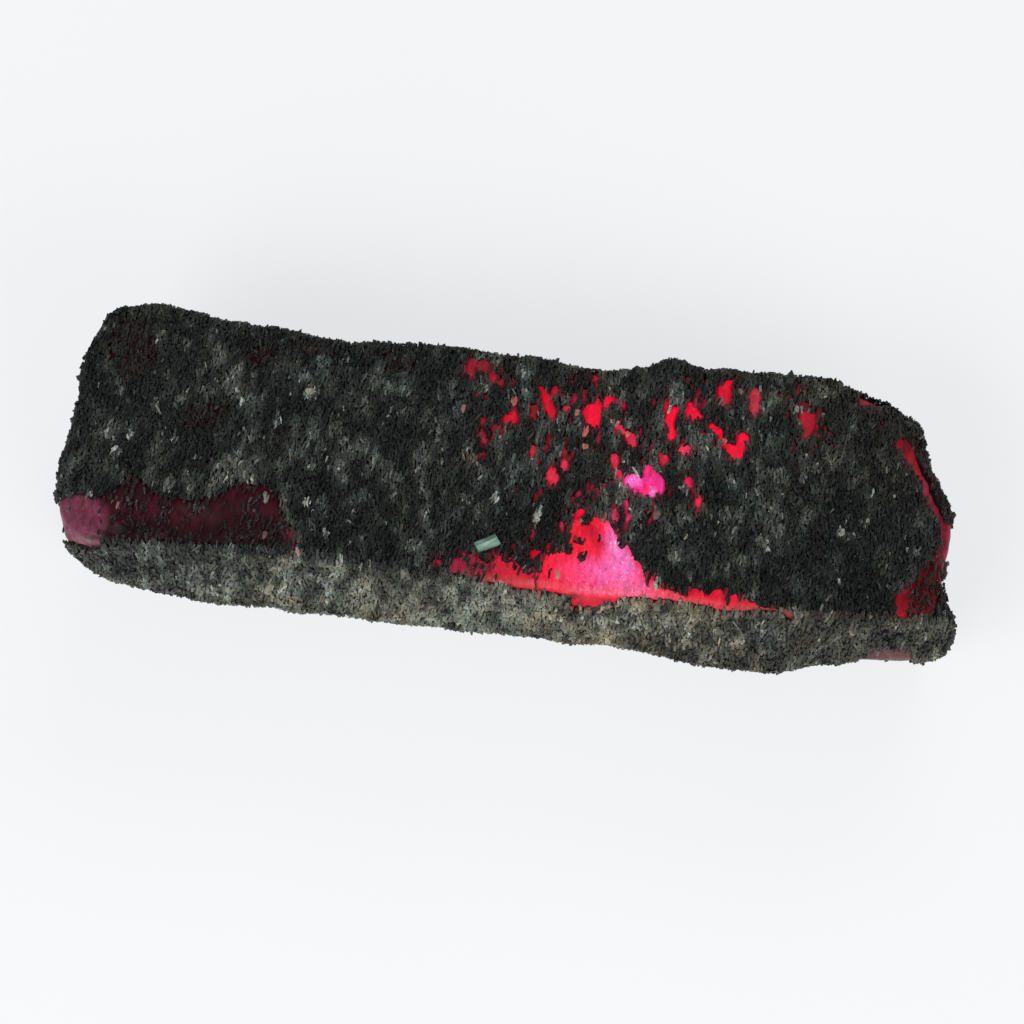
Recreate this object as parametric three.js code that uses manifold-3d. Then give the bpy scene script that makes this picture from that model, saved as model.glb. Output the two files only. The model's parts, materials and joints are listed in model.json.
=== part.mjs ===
// A raw ruby crystal: a flattened, six-sided prism of ruby that lies on one of its long faces,
// inside a thin, lumpy skin of dark mica. The skin is broken by windows, through which the ruby
// shows, and one pale green grain sits in it. Sizes are in millimetres, with +Z up, +X along the
// crystal and -Y towards its front face. The origin is under the middle, on the surface it lies on.

import * as THREE from "three";
import { mergeVertices } from "three/addons/utils/BufferGeometryUtils.js";
import Module from "manifold-3d";

const wasm = await Module();
wasm.setup();

// Driving dimensions
const LENGTH = 75;
const HEIGHT = 15;
const WAIST = HEIGHT / 2; // the level at which the crystal is widest
const SKIN = 0.7; // thickness of the mica
const GAP = 0.3; // between the mica and the ruby
const OUTER_GRID = [44, 14, 8]; // facets along, across and up the mica
const INNER_GRID = [20, 6, 2]; // and the ruby, whose faces are flat

// The mica's lumps: how far they stand out or in, and how long each is along, across and up
const LUMP = 0.36;
const LUMP_SIZE = [4, 2.5, 2.5];
const LUMP_SHARES = { grains: 0.6, ridges: 0.6 };

// The outline from above. Each entry is [x, y] on the outside of the mica, ends not yet slanted.
const BACK_EDGE = [
  [-37.5, 11.0],
  [-35.0, 12.1],
  [-29.5, 12.2],
  [-23.0, 11.4],
  [-16.0, 10.9],
  [-5.0, 11.4],
  [6.5, 10.9],
  [17.0, 12.1],
  [26.5, 12.4],
  [29.7, 11.5],
  [34.5, 10.8],
  [37.5, 9.9],
];
const FRONT_EDGE = [
  [-37.5, -9.5],
  [-33.0, -10.0],
  [-27.0, -9.4],
  [-16.5, -9.1],
  [-5.0, -9.7],
  [4.0, -9.9],
  [20.0, -9.7],
  [37.5, -8.6],
];
const FRONT_WAIST = [
  [-37.5, -8.2],
  [-34.4, -10.3],
  [-31.3, -11.1],
  [-25.0, -11.3],
  [-5.0, -11.3],
  [12.0, -11.2],
  [17.4, -12.1],
  [24.0, -12.0],
  [27.5, -10.5],
  [34.0, -10.2],
  [37.5, -8.8],
];
const BACK_WAIST_OUT = 1.3; // how far the back bulges past its top edge
const FRONT_TUCK = 3.6; // how far the front's lower face leans in at the base
const BACK_TUCK = 3.8;

// How far each end is moved along X, by the place across it. Each entry is [y, shift].
const LEFT_END = [
  [-9.9, 0.8],
  [-7.7, 0.0],
  [-5.9, -0.4],
  [2.0, 0.1],
  [6.2, -0.2],
  [8.0, 0.5],
  [11.5, 1.2],
];
const RIGHT_END = [
  [-9.0, 0.5],
  [-6.8, 0.0],
  [-4.3, -0.9],
  [-1.5, -0.6],
  [0.4, -0.1],
  [3.0, -1.0],
  [6.4, -2.6],
  [9.1, -3.6],
  [11.0, -4.5],
];
const END_REACH = 13; // how far in from an end its slant is felt

// The broken edge over the right end
const BREAK_WIDTH = 3.2;
const BREAK_SLOPE = 0.62;

// A knob of mica on the back edge
const KNOB = { x: 12.3, y: 12.2, radius: 2.3, height: 1.0 };

// The base has a worn patch, free of pits, on which the crystal rests
const WORN_RADIUS = 5.5;
const PIT_SHARE = 0.3; // of the places on the rest of the base

// Where the mica is rubbed off the front edge, the ruby's own edge stands further out
const RIDGE = { middle: 8, halfLength: 15, reach: 0.45 };

// Windows in the mica on the upper face: [x, y, half-width along, half-width across, turn in degrees]
const TOP_WINDOWS = [
  // lit cluster towards the back, from left to right
  [-4.2, 9.5, 0.9, 1.0, 0],
  [-2.6, 9.2, 1.0, 0.6, -50],
  [-0.7, 5.8, 0.6, 1.0, 0],
  [-2.7, 3.4, 0.5, 1.0, 0],
  [2.2, 7.0, 0.6, 1.6, 20],
  [6.2, 6.4, 0.9, 1.3, 0],
  [7.6, 7.8, 1.0, 0.6, 0],
  [9.0, 4.9, 0.6, 1.5, 38],
  [3.6, 1.0, 0.6, 1.4, -35],
  [8.6, 1.8, 0.5, 1.3, 19],
  [10.9, 0.3, 1.6, 0.8, 0],
  [11.6, 1.4, 0.7, 1.0, 0],
  [12.5, 6.8, 0.6, 1.8, -10],
  [14.3, 7.7, 0.8, 0.8, 0],
  [17.0, 9.8, 0.6, 1.2, -15],
  [19.5, 9.2, 0.6, 1.4, 0],
  [17.3, 5.3, 0.6, 1.5, 42],
  [18.8, 5.2, 0.5, 1.2, -20],
  [15.3, 0.2, 0.5, 1.1, 35],
  [24.4, 7.7, 0.8, 1.2, 0],
  // the large lit window that runs down to the front edge
  [7.9, -4.6, 0.7, 1.6, 8],
  [9.6, -6.4, 1.5, 2.4, 30],
  [6.6, -7.4, 2.9, 1.6, 0],
  [6.1, -5.2, 0.8, 1.3, 0],
  // over the front edge, left of it
  [-2.9, -8.2, 1.1, 0.9, 0],
  [0.8, -8.3, 0.8, 0.9, 0],
  // dark windows at the left
  [-30.5, -7.6, 2.4, 1.8, 0],
  [-25.9, -7.4, 2.7, 1.6, 0],
  [-21.3, -6.8, 2.8, 1.7, -5],
  [-17.6, -8.1, 2.0, 1.1, -20],
  [-32.6, 7.2, 1.4, 2.0, 0],
  [-26.5, 2.1, 1.8, 1.2, 20],
  [-22.0, 8.6, 1.3, 1.1, 0],
  [-10.2, 9.0, 1.5, 1.3, 0],
];

// Windows along the front edge, where the mica is rubbed away: [x, half-width along, half-width across].
// They lie this far back from the edge and below it.
const EDGE_SETBACK = 0.25;
const EDGE_WINDOWS = [
  [-3.2, 2.4, 0.6],
  [1.8, 3.0, 0.9],
  [7.6, 3.2, 1.0],
  [13.2, 3.0, 0.8],
  [18.6, 3.2, 0.6],
];

// Windows that run into one strip down the broken edge over the right end, from back to front:
// [x, y, half-width along, half-width across]. They face up and outwards.
const STRIP_LEVEL = 14.2;
const STRIP_WINDOWS = [
  [32.3, 7.1, 1.0, 0.9],
  [33.2, 5.9, 0.9, 1.1],
  [34.1, 4.4, 0.7, 1.2],
  [34.9, 2.7, 0.6, 1.2],
  [35.7, 0.9, 0.6, 1.2],
  [36.1, -1.0, 0.6, 1.3],
  [35.9, -3.0, 0.8, 1.4],
  [35.2, -4.9, 1.3, 1.4],
  [34.4, -6.6, 1.7, 1.2],
  [33.0, -8.0, 0.6, 0.9],
];

// Windows elsewhere: the place on the outside, the way it faces, and half-widths along and across
const OTHER_WINDOWS = [
  { at: [-36.7, -8.9, 14.5], facing: [-1, -1, 1], half: [2.1, 1.8] }, // bare corner at the left
  { at: [29.4, 11.0, 14.4], facing: [0, 1, 1], half: [1.3, 0.8] }, // back corner
  { at: [8.0, -10.4, 13.4], facing: [0, -1, 0.2], half: [1.8, 0.7] }, // front face
  { at: [30.6, -10.4, 8.7], facing: [0, -1, 0.2], half: [2.6, 0.8] },
  { at: [-14.0, 12.3, 10.0], facing: [0, 1, 0.1], half: [2.2, 1.4] }, // back face
  { at: [11.0, 12.8, 8.6], facing: [0, 1, 0.1], half: [1.3, 1.8] },
  { at: [-37.2, 2.6, 6.8], facing: [-1, 0, 0], half: [1.7, 1.3] }, // left end
  { at: [20.0, 1.5, 0], facing: [0, 0, -1], half: [2.6, 1.5] }, // base
  { at: [-19.0, -1.5, 0], facing: [0, 0, -1], half: [1.9, 2.2] },
];

// What is cut out for a window: how far it goes through the mica, its taper from outside to inside,
// and how ragged it is. Half-widths that add up to more than LARGE have ten corners, not six.
const PLUG = { depth: 3.2, outer: 1.1, inner: 0.85, least: 0.82, ragged: 0.36 };
const LARGE = 3;

// The pale green grain, lying in a pocket of the mica: its place, its size, its turn in degrees, and
// how far it stands out of the mica and sinks into it
const GRAIN = { x: -1.3, y: -6.4, length: 2.1, width: 1.2, turn: 30, stands: 0.45, sinks: 0.45 };
const GRAIN_TAPER = 0.88;

const UP = new THREE.Vector3(0, 0, 1);

// The value of a table of [place, value] pairs at a place, straight between its entries.
function along(table, place) {
  const last = table.length - 1;
  if (place <= table[0][0]) return table[0][1];
  if (place >= table[last][0]) return table[last][1];
  const i = table.findIndex(([x]) => x > place);
  const [x0, y0] = table[i - 1];
  const [x1, y1] = table[i];
  return THREE.MathUtils.mapLinear(place, x0, x1, y0, y1);
}

// A fixed random number from 0 to 1 for each place.
function scatter(x, y, z) {
  const s = Math.sin(x * 127.1 + y * 311.7 + z * 74.7) * 43758.5453;
  return s - Math.floor(s);
}

// Smooth noise from -1 to 1, with features about one unit wide.
function swell(x, y, z) {
  const cell = [Math.floor(x), Math.floor(y), Math.floor(z)];
  const part = [x - cell[0], y - cell[1], z - cell[2]].map((t) => t * t * (3 - 2 * t));
  let sum = 0;
  for (const i of [0, 1])
    for (const j of [0, 1])
      for (const k of [0, 1]) {
        const share =
          (i ? part[0] : 1 - part[0]) * (j ? part[1] : 1 - part[1]) * (k ? part[2] : 1 - part[2]);
        sum += share * scatter(cell[0] + i, cell[1] + j, cell[2] + k);
      }
  return 2 * sum - 1;
}

// Where the front and the back of the mica lie at a place along the crystal and a height.
function frontAt(x, z) {
  const waist = along(FRONT_WAIST, x);
  if (z < WAIST) return waist + FRONT_TUCK * (1 - z / WAIST);
  return THREE.MathUtils.mapLinear(z, WAIST, HEIGHT, waist, along(FRONT_EDGE, x));
}

function backAt(x, z) {
  const edge = along(BACK_EDGE, x);
  const waist = edge + BACK_WAIST_OUT;
  if (z < WAIST) return waist - BACK_TUCK * (1 - z / WAIST);
  return THREE.MathUtils.mapLinear(z, WAIST, HEIGHT, waist, edge);
}

// The crystal's form, taken in by an inset on every side. u, v and w run from 0 to 1 along it, across
// it and up it.
function place(u, v, w, inset) {
  const x0 = (u - 0.5) * (LENGTH - 2 * inset);
  const z0 = inset + w * (HEIGHT - 2 * inset);
  const y = THREE.MathUtils.lerp(frontAt(x0, z0) + inset, backAt(x0, z0) - inset, v);
  const nearRight = Math.max(0, 1 - (LENGTH / 2 - inset - x0) / END_REACH);
  const nearLeft = Math.max(0, 1 - (LENGTH / 2 - inset + x0) / END_REACH);
  const x = x0 + nearRight * along(RIGHT_END, y) + nearLeft * along(LEFT_END, y);
  const fromEnd = LENGTH / 2 - inset + along(RIGHT_END, y) - x;
  const broken = Math.max(0, BREAK_WIDTH - fromEnd) * BREAK_SLOPE * w * w;
  return new THREE.Vector3(x, y, z0 - broken);
}

// How far the mica's surface stands out from its mean at a point that is w of the way up. The base
// has pits and no lumps.
function lump(p, w) {
  if (w === 0) {
    const worn = Math.hypot(p.x, p.y) < WORN_RADIUS;
    const pitted = scatter(p.x, p.y, p.z) < PIT_SHARE;
    return worn || !pitted ? 0 : -LUMP;
  }
  const grains = 2 * scatter(p.x, p.y, p.z) - 1;
  const ridges = swell(p.x / LUMP_SIZE[0], p.y / LUMP_SIZE[1], p.z / LUMP_SIZE[2]);
  const fromKnob = Math.hypot(p.x - KNOB.x, p.y - KNOB.y) / KNOB.radius;
  const knob = p.z > WAIST ? KNOB.height * Math.max(0, 1 - fromKnob * fromKnob) : 0;
  return LUMP * (LUMP_SHARES.grains * grains + LUMP_SHARES.ridges * ridges) + knob;
}

// How far the ruby's upper front edge is moved forwards and up at a place along it.
function ridge(x) {
  const fromMiddle = Math.abs(x - RIDGE.middle) / RIDGE.halfLength;
  const reach = RIDGE.reach * Math.max(0, 1 - fromMiddle ** 4);
  return new THREE.Vector3(0, -reach, reach);
}

// A closed box with a grid on each side, bent onto the crystal's form.
function crystalForm(inset, [nx, ny, nz], lumpy) {
  const box = new THREE.BoxGeometry(1, 1, 1, nx, ny, nz);
  box.deleteAttribute("normal");
  box.deleteAttribute("uv");
  const form = mergeVertices(box);
  const position = form.getAttribute("position");
  const height = [];
  for (let i = 0; i < position.count; i++) {
    const [u, v, w] = [position.getX(i), position.getY(i), position.getZ(i)].map((t) => t + 0.5);
    const p = place(u, v, w, inset);
    if (inset > 0 && v === 0 && w === 1) p.add(ridge(p.x));
    height.push(w);
    position.setXYZ(i, p.x, p.y, p.z);
  }
  if (!lumpy) return form;
  form.computeVertexNormals();
  const normal = form.getAttribute("normal");
  for (let i = 0; i < position.count; i++) {
    const p = new THREE.Vector3().fromBufferAttribute(position, i);
    const n = new THREE.Vector3().fromBufferAttribute(normal, i);
    p.addScaledVector(n, lump(p, height[i]));
    position.setXYZ(i, p.x, p.y, height[i] === 0 ? Math.max(p.z, 0) : p.z);
  }
  form.deleteAttribute("normal");
  return form;
}

function solid(geometry) {
  const bare = geometry.clone();
  bare.deleteAttribute("normal");
  bare.deleteAttribute("uv");
  const merged = mergeVertices(bare, 1e-4);
  return new wasm.Manifold(
    new wasm.Mesh({
      numProp: 3,
      vertProperties: new Float32Array(merged.getAttribute("position").array),
      triVerts: new Uint32Array(merged.index.array),
    }),
  );
}

function geometryOf(made) {
  const { vertProperties, triVerts } = made.getMesh();
  const geometry = new THREE.BufferGeometry();
  geometry.setAttribute("position", new THREE.BufferAttribute(vertProperties, 3));
  geometry.setIndex(new THREE.BufferAttribute(triVerts, 1));
  geometry.computeVertexNormals();
  return geometry;
}

// The ragged plug that is cut out of the mica for one window. It tapers inwards, so the window's
// walls slope, and a larger window has more corners.
function windowPlug(at, facing, [halfAlong, halfAcross], turn) {
  const sides = halfAlong + halfAcross > LARGE ? 10 : 6;
  const plug = new THREE.CylinderGeometry(PLUG.outer, PLUG.inner, PLUG.depth, sides);
  plug.rotateX(Math.PI / 2);
  const position = plug.getAttribute("position");
  for (let i = 0; i < position.count; i++) {
    const x = position.getX(i);
    const y = position.getY(i);
    const corner = Math.round((Math.atan2(x, y) / (2 * Math.PI)) * sides + sides) % sides;
    const ragged = PLUG.least + PLUG.ragged * scatter(at[0] + corner, at[1], at[2]);
    position.setXY(i, x * ragged * halfAlong, y * ragged * halfAcross);
  }
  plug.rotateZ(THREE.MathUtils.degToRad(turn));
  const outwards = new THREE.Vector3(...facing).normalize();
  plug.applyQuaternion(new THREE.Quaternion().setFromUnitVectors(UP, outwards));
  plug.translate(...new THREE.Vector3(...at).addScaledVector(outwards, -SKIN / 2));
  return solid(plug);
}

function edgeWindowPlace(x) {
  return [x, along(FRONT_EDGE, x) + EDGE_SETBACK, HEIGHT - EDGE_SETBACK];
}

function allWindows() {
  return [
    ...TOP_WINDOWS.map(([x, y, a, b, turn]) => windowPlug([x, y, HEIGHT], [0, 0, 1], [a, b], turn)),
    ...EDGE_WINDOWS.map(([x, a, b]) => windowPlug(edgeWindowPlace(x), [0, -1, 1], [a, b], 0)),
    ...STRIP_WINDOWS.map(([x, y, a, b]) => windowPlug([x, y, STRIP_LEVEL], [1, 0, 2], [a, b], 0)),
    ...OTHER_WINDOWS.map(({ at, facing, half }) => windowPlug(at, facing, half, 0)),
  ];
}

function rubyCrystal() {
  return crystalForm(SKIN + GAP, INNER_GRID, false);
}

// The green grain is a short six-sided prism that lies on its side. grow adds to it all round.
function greenGrain(grow) {
  const { x, y, length, width, turn, stands, sinks } = GRAIN;
  const grain = new THREE.CylinderGeometry(0.5, 0.5 * GRAIN_TAPER, 1, 6).rotateZ(Math.PI / 2);
  grain.scale(length + 2 * grow, stands + sinks + 2 * grow, width + 2 * grow);
  grain.rotateX(Math.PI / 2).rotateZ(THREE.MathUtils.degToRad(turn));
  grain.translate(x, y, HEIGHT + (stands - sinks) / 2);
  return grain;
}

function micaCrust() {
  let crust = solid(crystalForm(0, OUTER_GRID, true));
  crust = crust.subtract(solid(crystalForm(SKIN, INNER_GRID, false)));
  for (const plug of allWindows()) crust = crust.subtract(plug);
  return geometryOf(crust.subtract(solid(greenGrain(GAP))));
}

function piece(name, geometry, material) {
  const mesh = new THREE.Mesh(geometry, material);
  mesh.name = name;
  return mesh;
}

const ruby = new THREE.MeshStandardMaterial({ color: 0xb00f35, roughness: 0.25, metalness: 0 });
const mica = new THREE.MeshStandardMaterial({ color: 0x3c3f3d, roughness: 0.55, metalness: 0 });
const green = new THREE.MeshStandardMaterial({ color: 0x8fae9c, roughness: 0.4, metalness: 0 });

const crystal = new THREE.Group();
crystal.add(
  piece("ruby_crystal", rubyCrystal(), ruby),
  piece("mica_crust", micaCrust(), mica),
  piece("green_grain", greenGrain(0), green),
);

// The lumps move the outline a little, so the whole is centred over the origin.
const box = new THREE.Box3().setFromObject(crystal, true);
crystal.position.set(-(box.min.x + box.max.x) / 2, -(box.min.y + box.max.y) / 2, -box.min.z);

export default crystal;
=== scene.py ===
"""The look of a raw ruby crystal in a dark crust of mica grains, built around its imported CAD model.

The crust's mean surface comes from the CAD solids. The crust, the ruby under it and some forty
thousand mica grains are then modelled on that surface, in millimetres, and set down in metres.
Places on the top and front are in "plan": where a point falls on the level of the top face when it
is seen from SIGHT, the point that the photo's outlines were measured from.
"""

import json
import math

import bmesh
import bpy
import numpy as np
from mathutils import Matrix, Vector

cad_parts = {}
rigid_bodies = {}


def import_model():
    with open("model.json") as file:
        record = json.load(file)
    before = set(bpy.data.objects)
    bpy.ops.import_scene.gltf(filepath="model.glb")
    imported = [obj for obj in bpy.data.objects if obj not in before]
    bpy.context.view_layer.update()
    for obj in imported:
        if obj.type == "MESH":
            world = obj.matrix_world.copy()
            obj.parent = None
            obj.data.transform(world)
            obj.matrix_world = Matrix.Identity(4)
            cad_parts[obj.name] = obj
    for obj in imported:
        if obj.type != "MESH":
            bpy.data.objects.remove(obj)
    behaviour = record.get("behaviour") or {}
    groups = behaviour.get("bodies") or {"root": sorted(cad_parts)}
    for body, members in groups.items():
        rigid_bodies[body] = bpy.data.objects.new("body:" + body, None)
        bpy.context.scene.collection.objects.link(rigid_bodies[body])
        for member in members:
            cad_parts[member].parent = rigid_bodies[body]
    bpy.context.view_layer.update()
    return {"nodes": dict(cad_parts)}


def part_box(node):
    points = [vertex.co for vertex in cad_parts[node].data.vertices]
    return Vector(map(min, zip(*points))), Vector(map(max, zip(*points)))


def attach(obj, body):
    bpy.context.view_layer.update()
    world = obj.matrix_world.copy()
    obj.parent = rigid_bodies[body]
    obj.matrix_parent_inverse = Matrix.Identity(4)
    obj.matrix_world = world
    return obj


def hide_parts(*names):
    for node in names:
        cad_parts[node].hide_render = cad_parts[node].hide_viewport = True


MM = 0.001
TOP = 15.0


def direction(azimuth, elevation):
    """The way to a viewer, of unit length, with azimuth from the front and elevation in degrees."""
    a, e = math.radians(azimuth), math.radians(elevation)
    return np.array([math.sin(a) * math.cos(e), -math.cos(a) * math.cos(e), math.sin(e)])


# The photo's viewpoint
AZIMUTH, ELEVATION, DISTANCE, LENS = 7.0, 66.0, 244.0, 100.0
TARGET = np.array([0.005, -0.732, 7.5])
BACK = direction(AZIMUTH, ELEVATION)
SIGHT = TARGET + DISTANCE * BACK

# The crust's mean surface: its grid, how far out of the CAD's ruby it lies in windows, its smoothing
VOXEL = 0.5
RUBY_OUT = 0.65
SURFACE_ROUNDS = 3

# Depths under the mean surface, in whole crust and as much more or less at a window's rim
CRUST_DEPTH = 0.16
CRUST_RIM = 0.5
RUBY_DEPTH = 0.8
RUBY_RIM = 0.26
WINDOW_EDGE = (-0.35, 0.15)
CRUST_OPEN = 0.12

# The ruby's smoothing, how its mesh is refined at windows, and how low it reaches
RUBY_ROUNDS = 6
RUBY_REFINED = ((0.35, 9), (0.2, 0.3))
RUBY_FLOOR = 0.05

# Grains: half-sizes along, across and up, each with its mean, spread, least and most
GRAIN_SIZES = ((0.27, 0.3, 0.13, 0.6), (0.105, 0.28, 0.055, 0.24), (0.11, 0.25, 0.07, 0.24))
# Their turn, tilt and roll in degrees: mean and spread
GRAIN_ANGLES = ((-4, 16), (0, 9), (0, 20))
# Their spacing and scale, the shares of blocks, barrels and flakes, and how far they may stand out
GRAIN_GROUPS = {
    "top": (0.238, 1.0, (0.72, 0.2, 0.08), 0.14),
    "front": (0.315, 1.2, (0.75, 0.18, 0.07), 0.1),
    "rest": (0.455, 1.65, (0.8, 0.13, 0.07), 0.15),
}
TRIES_A_CELL = 3.2
THIN_VEIL_Y = -3  # behind this the veiled windows keep most of their grains
GIRTHWISE = np.array([1, 0.6, 0.6])  # draws noise out round the crystal's girth

# How far round the outline a window may go, and how a hidden side's window is bounded
PAST_OUTLINE = -0.35
OTHER_FACING = 0.6
OTHER_REACH = 3

# The painted light that comes out of the windows, by name: emission colours on the ruby
LIGHTS = {
    "red": (0.93, 0.004, 0.036), "red_dull": (0.65, 0.0024, 0.022), "pink_red": (0.77, 0.0225, 0.07),
    "crimson": (0.35, 0.0065, 0.021), "deep": (0.22, 0.009, 0.018), "rose": (0.21, 0.012, 0.033),
    "dim": (0.108, 0.011, 0.018), "pink": (0.85, 0.037, 0.104), "pink_dull": (0.33, 0.0146, 0.044),
    "salmon_dull": (0.45, 0.0276, 0.052), "magenta": (0.95, 0.03, 0.27), "cerise": (0.73, 0.0138, 0.092),
    "magenta_dull": (0.7, 0.0276, 0.122), "maroon": (0.026, 0.0008, 0.0035), "plum": (0.05, 0.002, 0.012),
}
UNDER_VEIL = ("maroon", "plum")

# Round windows: the light in them, their place in plan, half-widths along and across, and any turn
WINDOWS = [
    ("deep", -4.59, 8.91, 0.41, 1.11), ("deep", -3.64, 9.19, 0.55, 0.68), ("dim", -3.15, 8.96, 0.33, 0.44),
    ("crimson", -2.69, 8.2, 0.35, 0.55), ("deep", -2.09, 7.85, 0.43, 0.4), ("dim", -3.01, 6.38, 0.28, 0.29),
    ("deep", -0.57, 5.24, 0.29, 0.48), ("deep", -3.03, 3.97, 0.26, 0.45), ("rose", -3.01, 2.8, 0.28, 0.34),
    ("pink_dull", -2.69, 2.3, 0.25, 0.47), ("deep", -1.9, 3.52, 0.37, 0.4),
    ("dim", -2.84, 0.74, 0.21, 0.34), ("crimson", 2.65, 7.58, 0.34, 0.45), ("rose", 3.29, 7.32, 0.21, 0.29),
    ("salmon_dull", 3.82, 6.03, 0.32, 0.35), ("pink_dull", 4.35, 6.99, 0.19, 0.45),
    ("rose", 5.12, 7.21, 0.18, 0.43), ("rose", 4.46, 9.38, 0.29, 0.29), ("dim", 3.93, 8.72, 0.26, 0.26),
    ("crimson", 5.88, 9.3, 0.29, 0.53), ("pink_dull", 6.79, 3.46, 0.17, 0.45),
    ("deep", 4.07, 1.88, 0.26, 0.45), ("pink_red", 4.17, 0.69, 0.31, 0.5), ("dim", 2.69, 3.42, 0.22, 0.24),
    ("salmon_dull", 1.44, 1.89, 0.29, 0.69), ("pink_dull", 7.88, 7.17, 0.21, 0.32),
    ("crimson", 8.55, 6.96, 0.23, 0.39), ("rose", 11.07, 7.49, 0.11, 0.29),
    ("red_dull", 12.09, 7.21, 0.19, 0.55), ("pink_dull", 14.57, 7.99, 0.13, 0.46),
    ("rose", 15.33, 7.86, 0.16, 0.39), ("pink", 14.15, 3.39, 0.66, 0.48, 30),
    ("rose", 11.25, 3.41, 0.09, 0.39), ("deep", 15.33, 5.13, 0.29, 0.25), ("dim", 14.14, 9.32, 0.11, 0.32),
    ("dim", 15.38, 10.05, 0.15, 0.28), ("dim", 21.64, 9.51, 0.29, 0.28), ("dim", 22.29, 9.52, 0.29, 0.32),
    ("rose", 15.3, 7.94, 0.23, 0.46), ("dim", 23.44, 8.87, 0.33, 0.33), ("dim", 23.64, 8.84, 0.53, 0.37),
    ("dim", 24.96, 8.13, 0.26, 0.68), ("dim", 25.02, 6.2, 0.43, 0.33), ("dim", 26.06, 6.43, 0.3, 0.25),
    ("dim", 30.09, 9.58, 0.45, 0.31), ("dim", 2.32, -2.18, 0.1, 0.39), ("dim", 6.39, -0.9, 0.15, 0.45),
    ("pink_dull", 7.19, -1.29, 0.15, 0.37), ("pink_dull", 7.75, -0.61, 0.18, 0.34),
    ("dim", 4.89, -3.13, 0.13, 0.37), ("salmon_dull", 4.63, -4.71, 0.18, 0.42),
    ("salmon_dull", 8.88, -3.15, 0.26, 0.6), ("pink_dull", 2.33, -5.73, 0.15, 0.45),
    ("dim", 0.89, -7.04, 0.18, 0.23), ("magenta_dull", 9.79, -1.96, 0.15, 0.64),
    ("magenta_dull", 10.04, -3.44, 0.16, 0.37), ("rose", 15.16, -0.07, 0.12, 0.39),
    ("pink_red", 15.69, -1.15, 0.26, 0.63), ("dim", 13.22, -0.47, 0.1, 0.39),
    ("dim", 11.51, -2.32, 0.21, 0.23), ("deep", -5.18, -9.25, 0.33, 0.29), ("dim", 0.89, -7.05, 0.19, 0.25),
    ("plum", -17.4, -8.96, 0.5, 0.6), ("pink_dull", -17.1, -9.2, 0.16, 0.35),
    ("crimson", 24.1, -10.6, 0.35, 0.4), ("deep", 23.7, -10.2, 0.2, 0.3),
]

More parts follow.
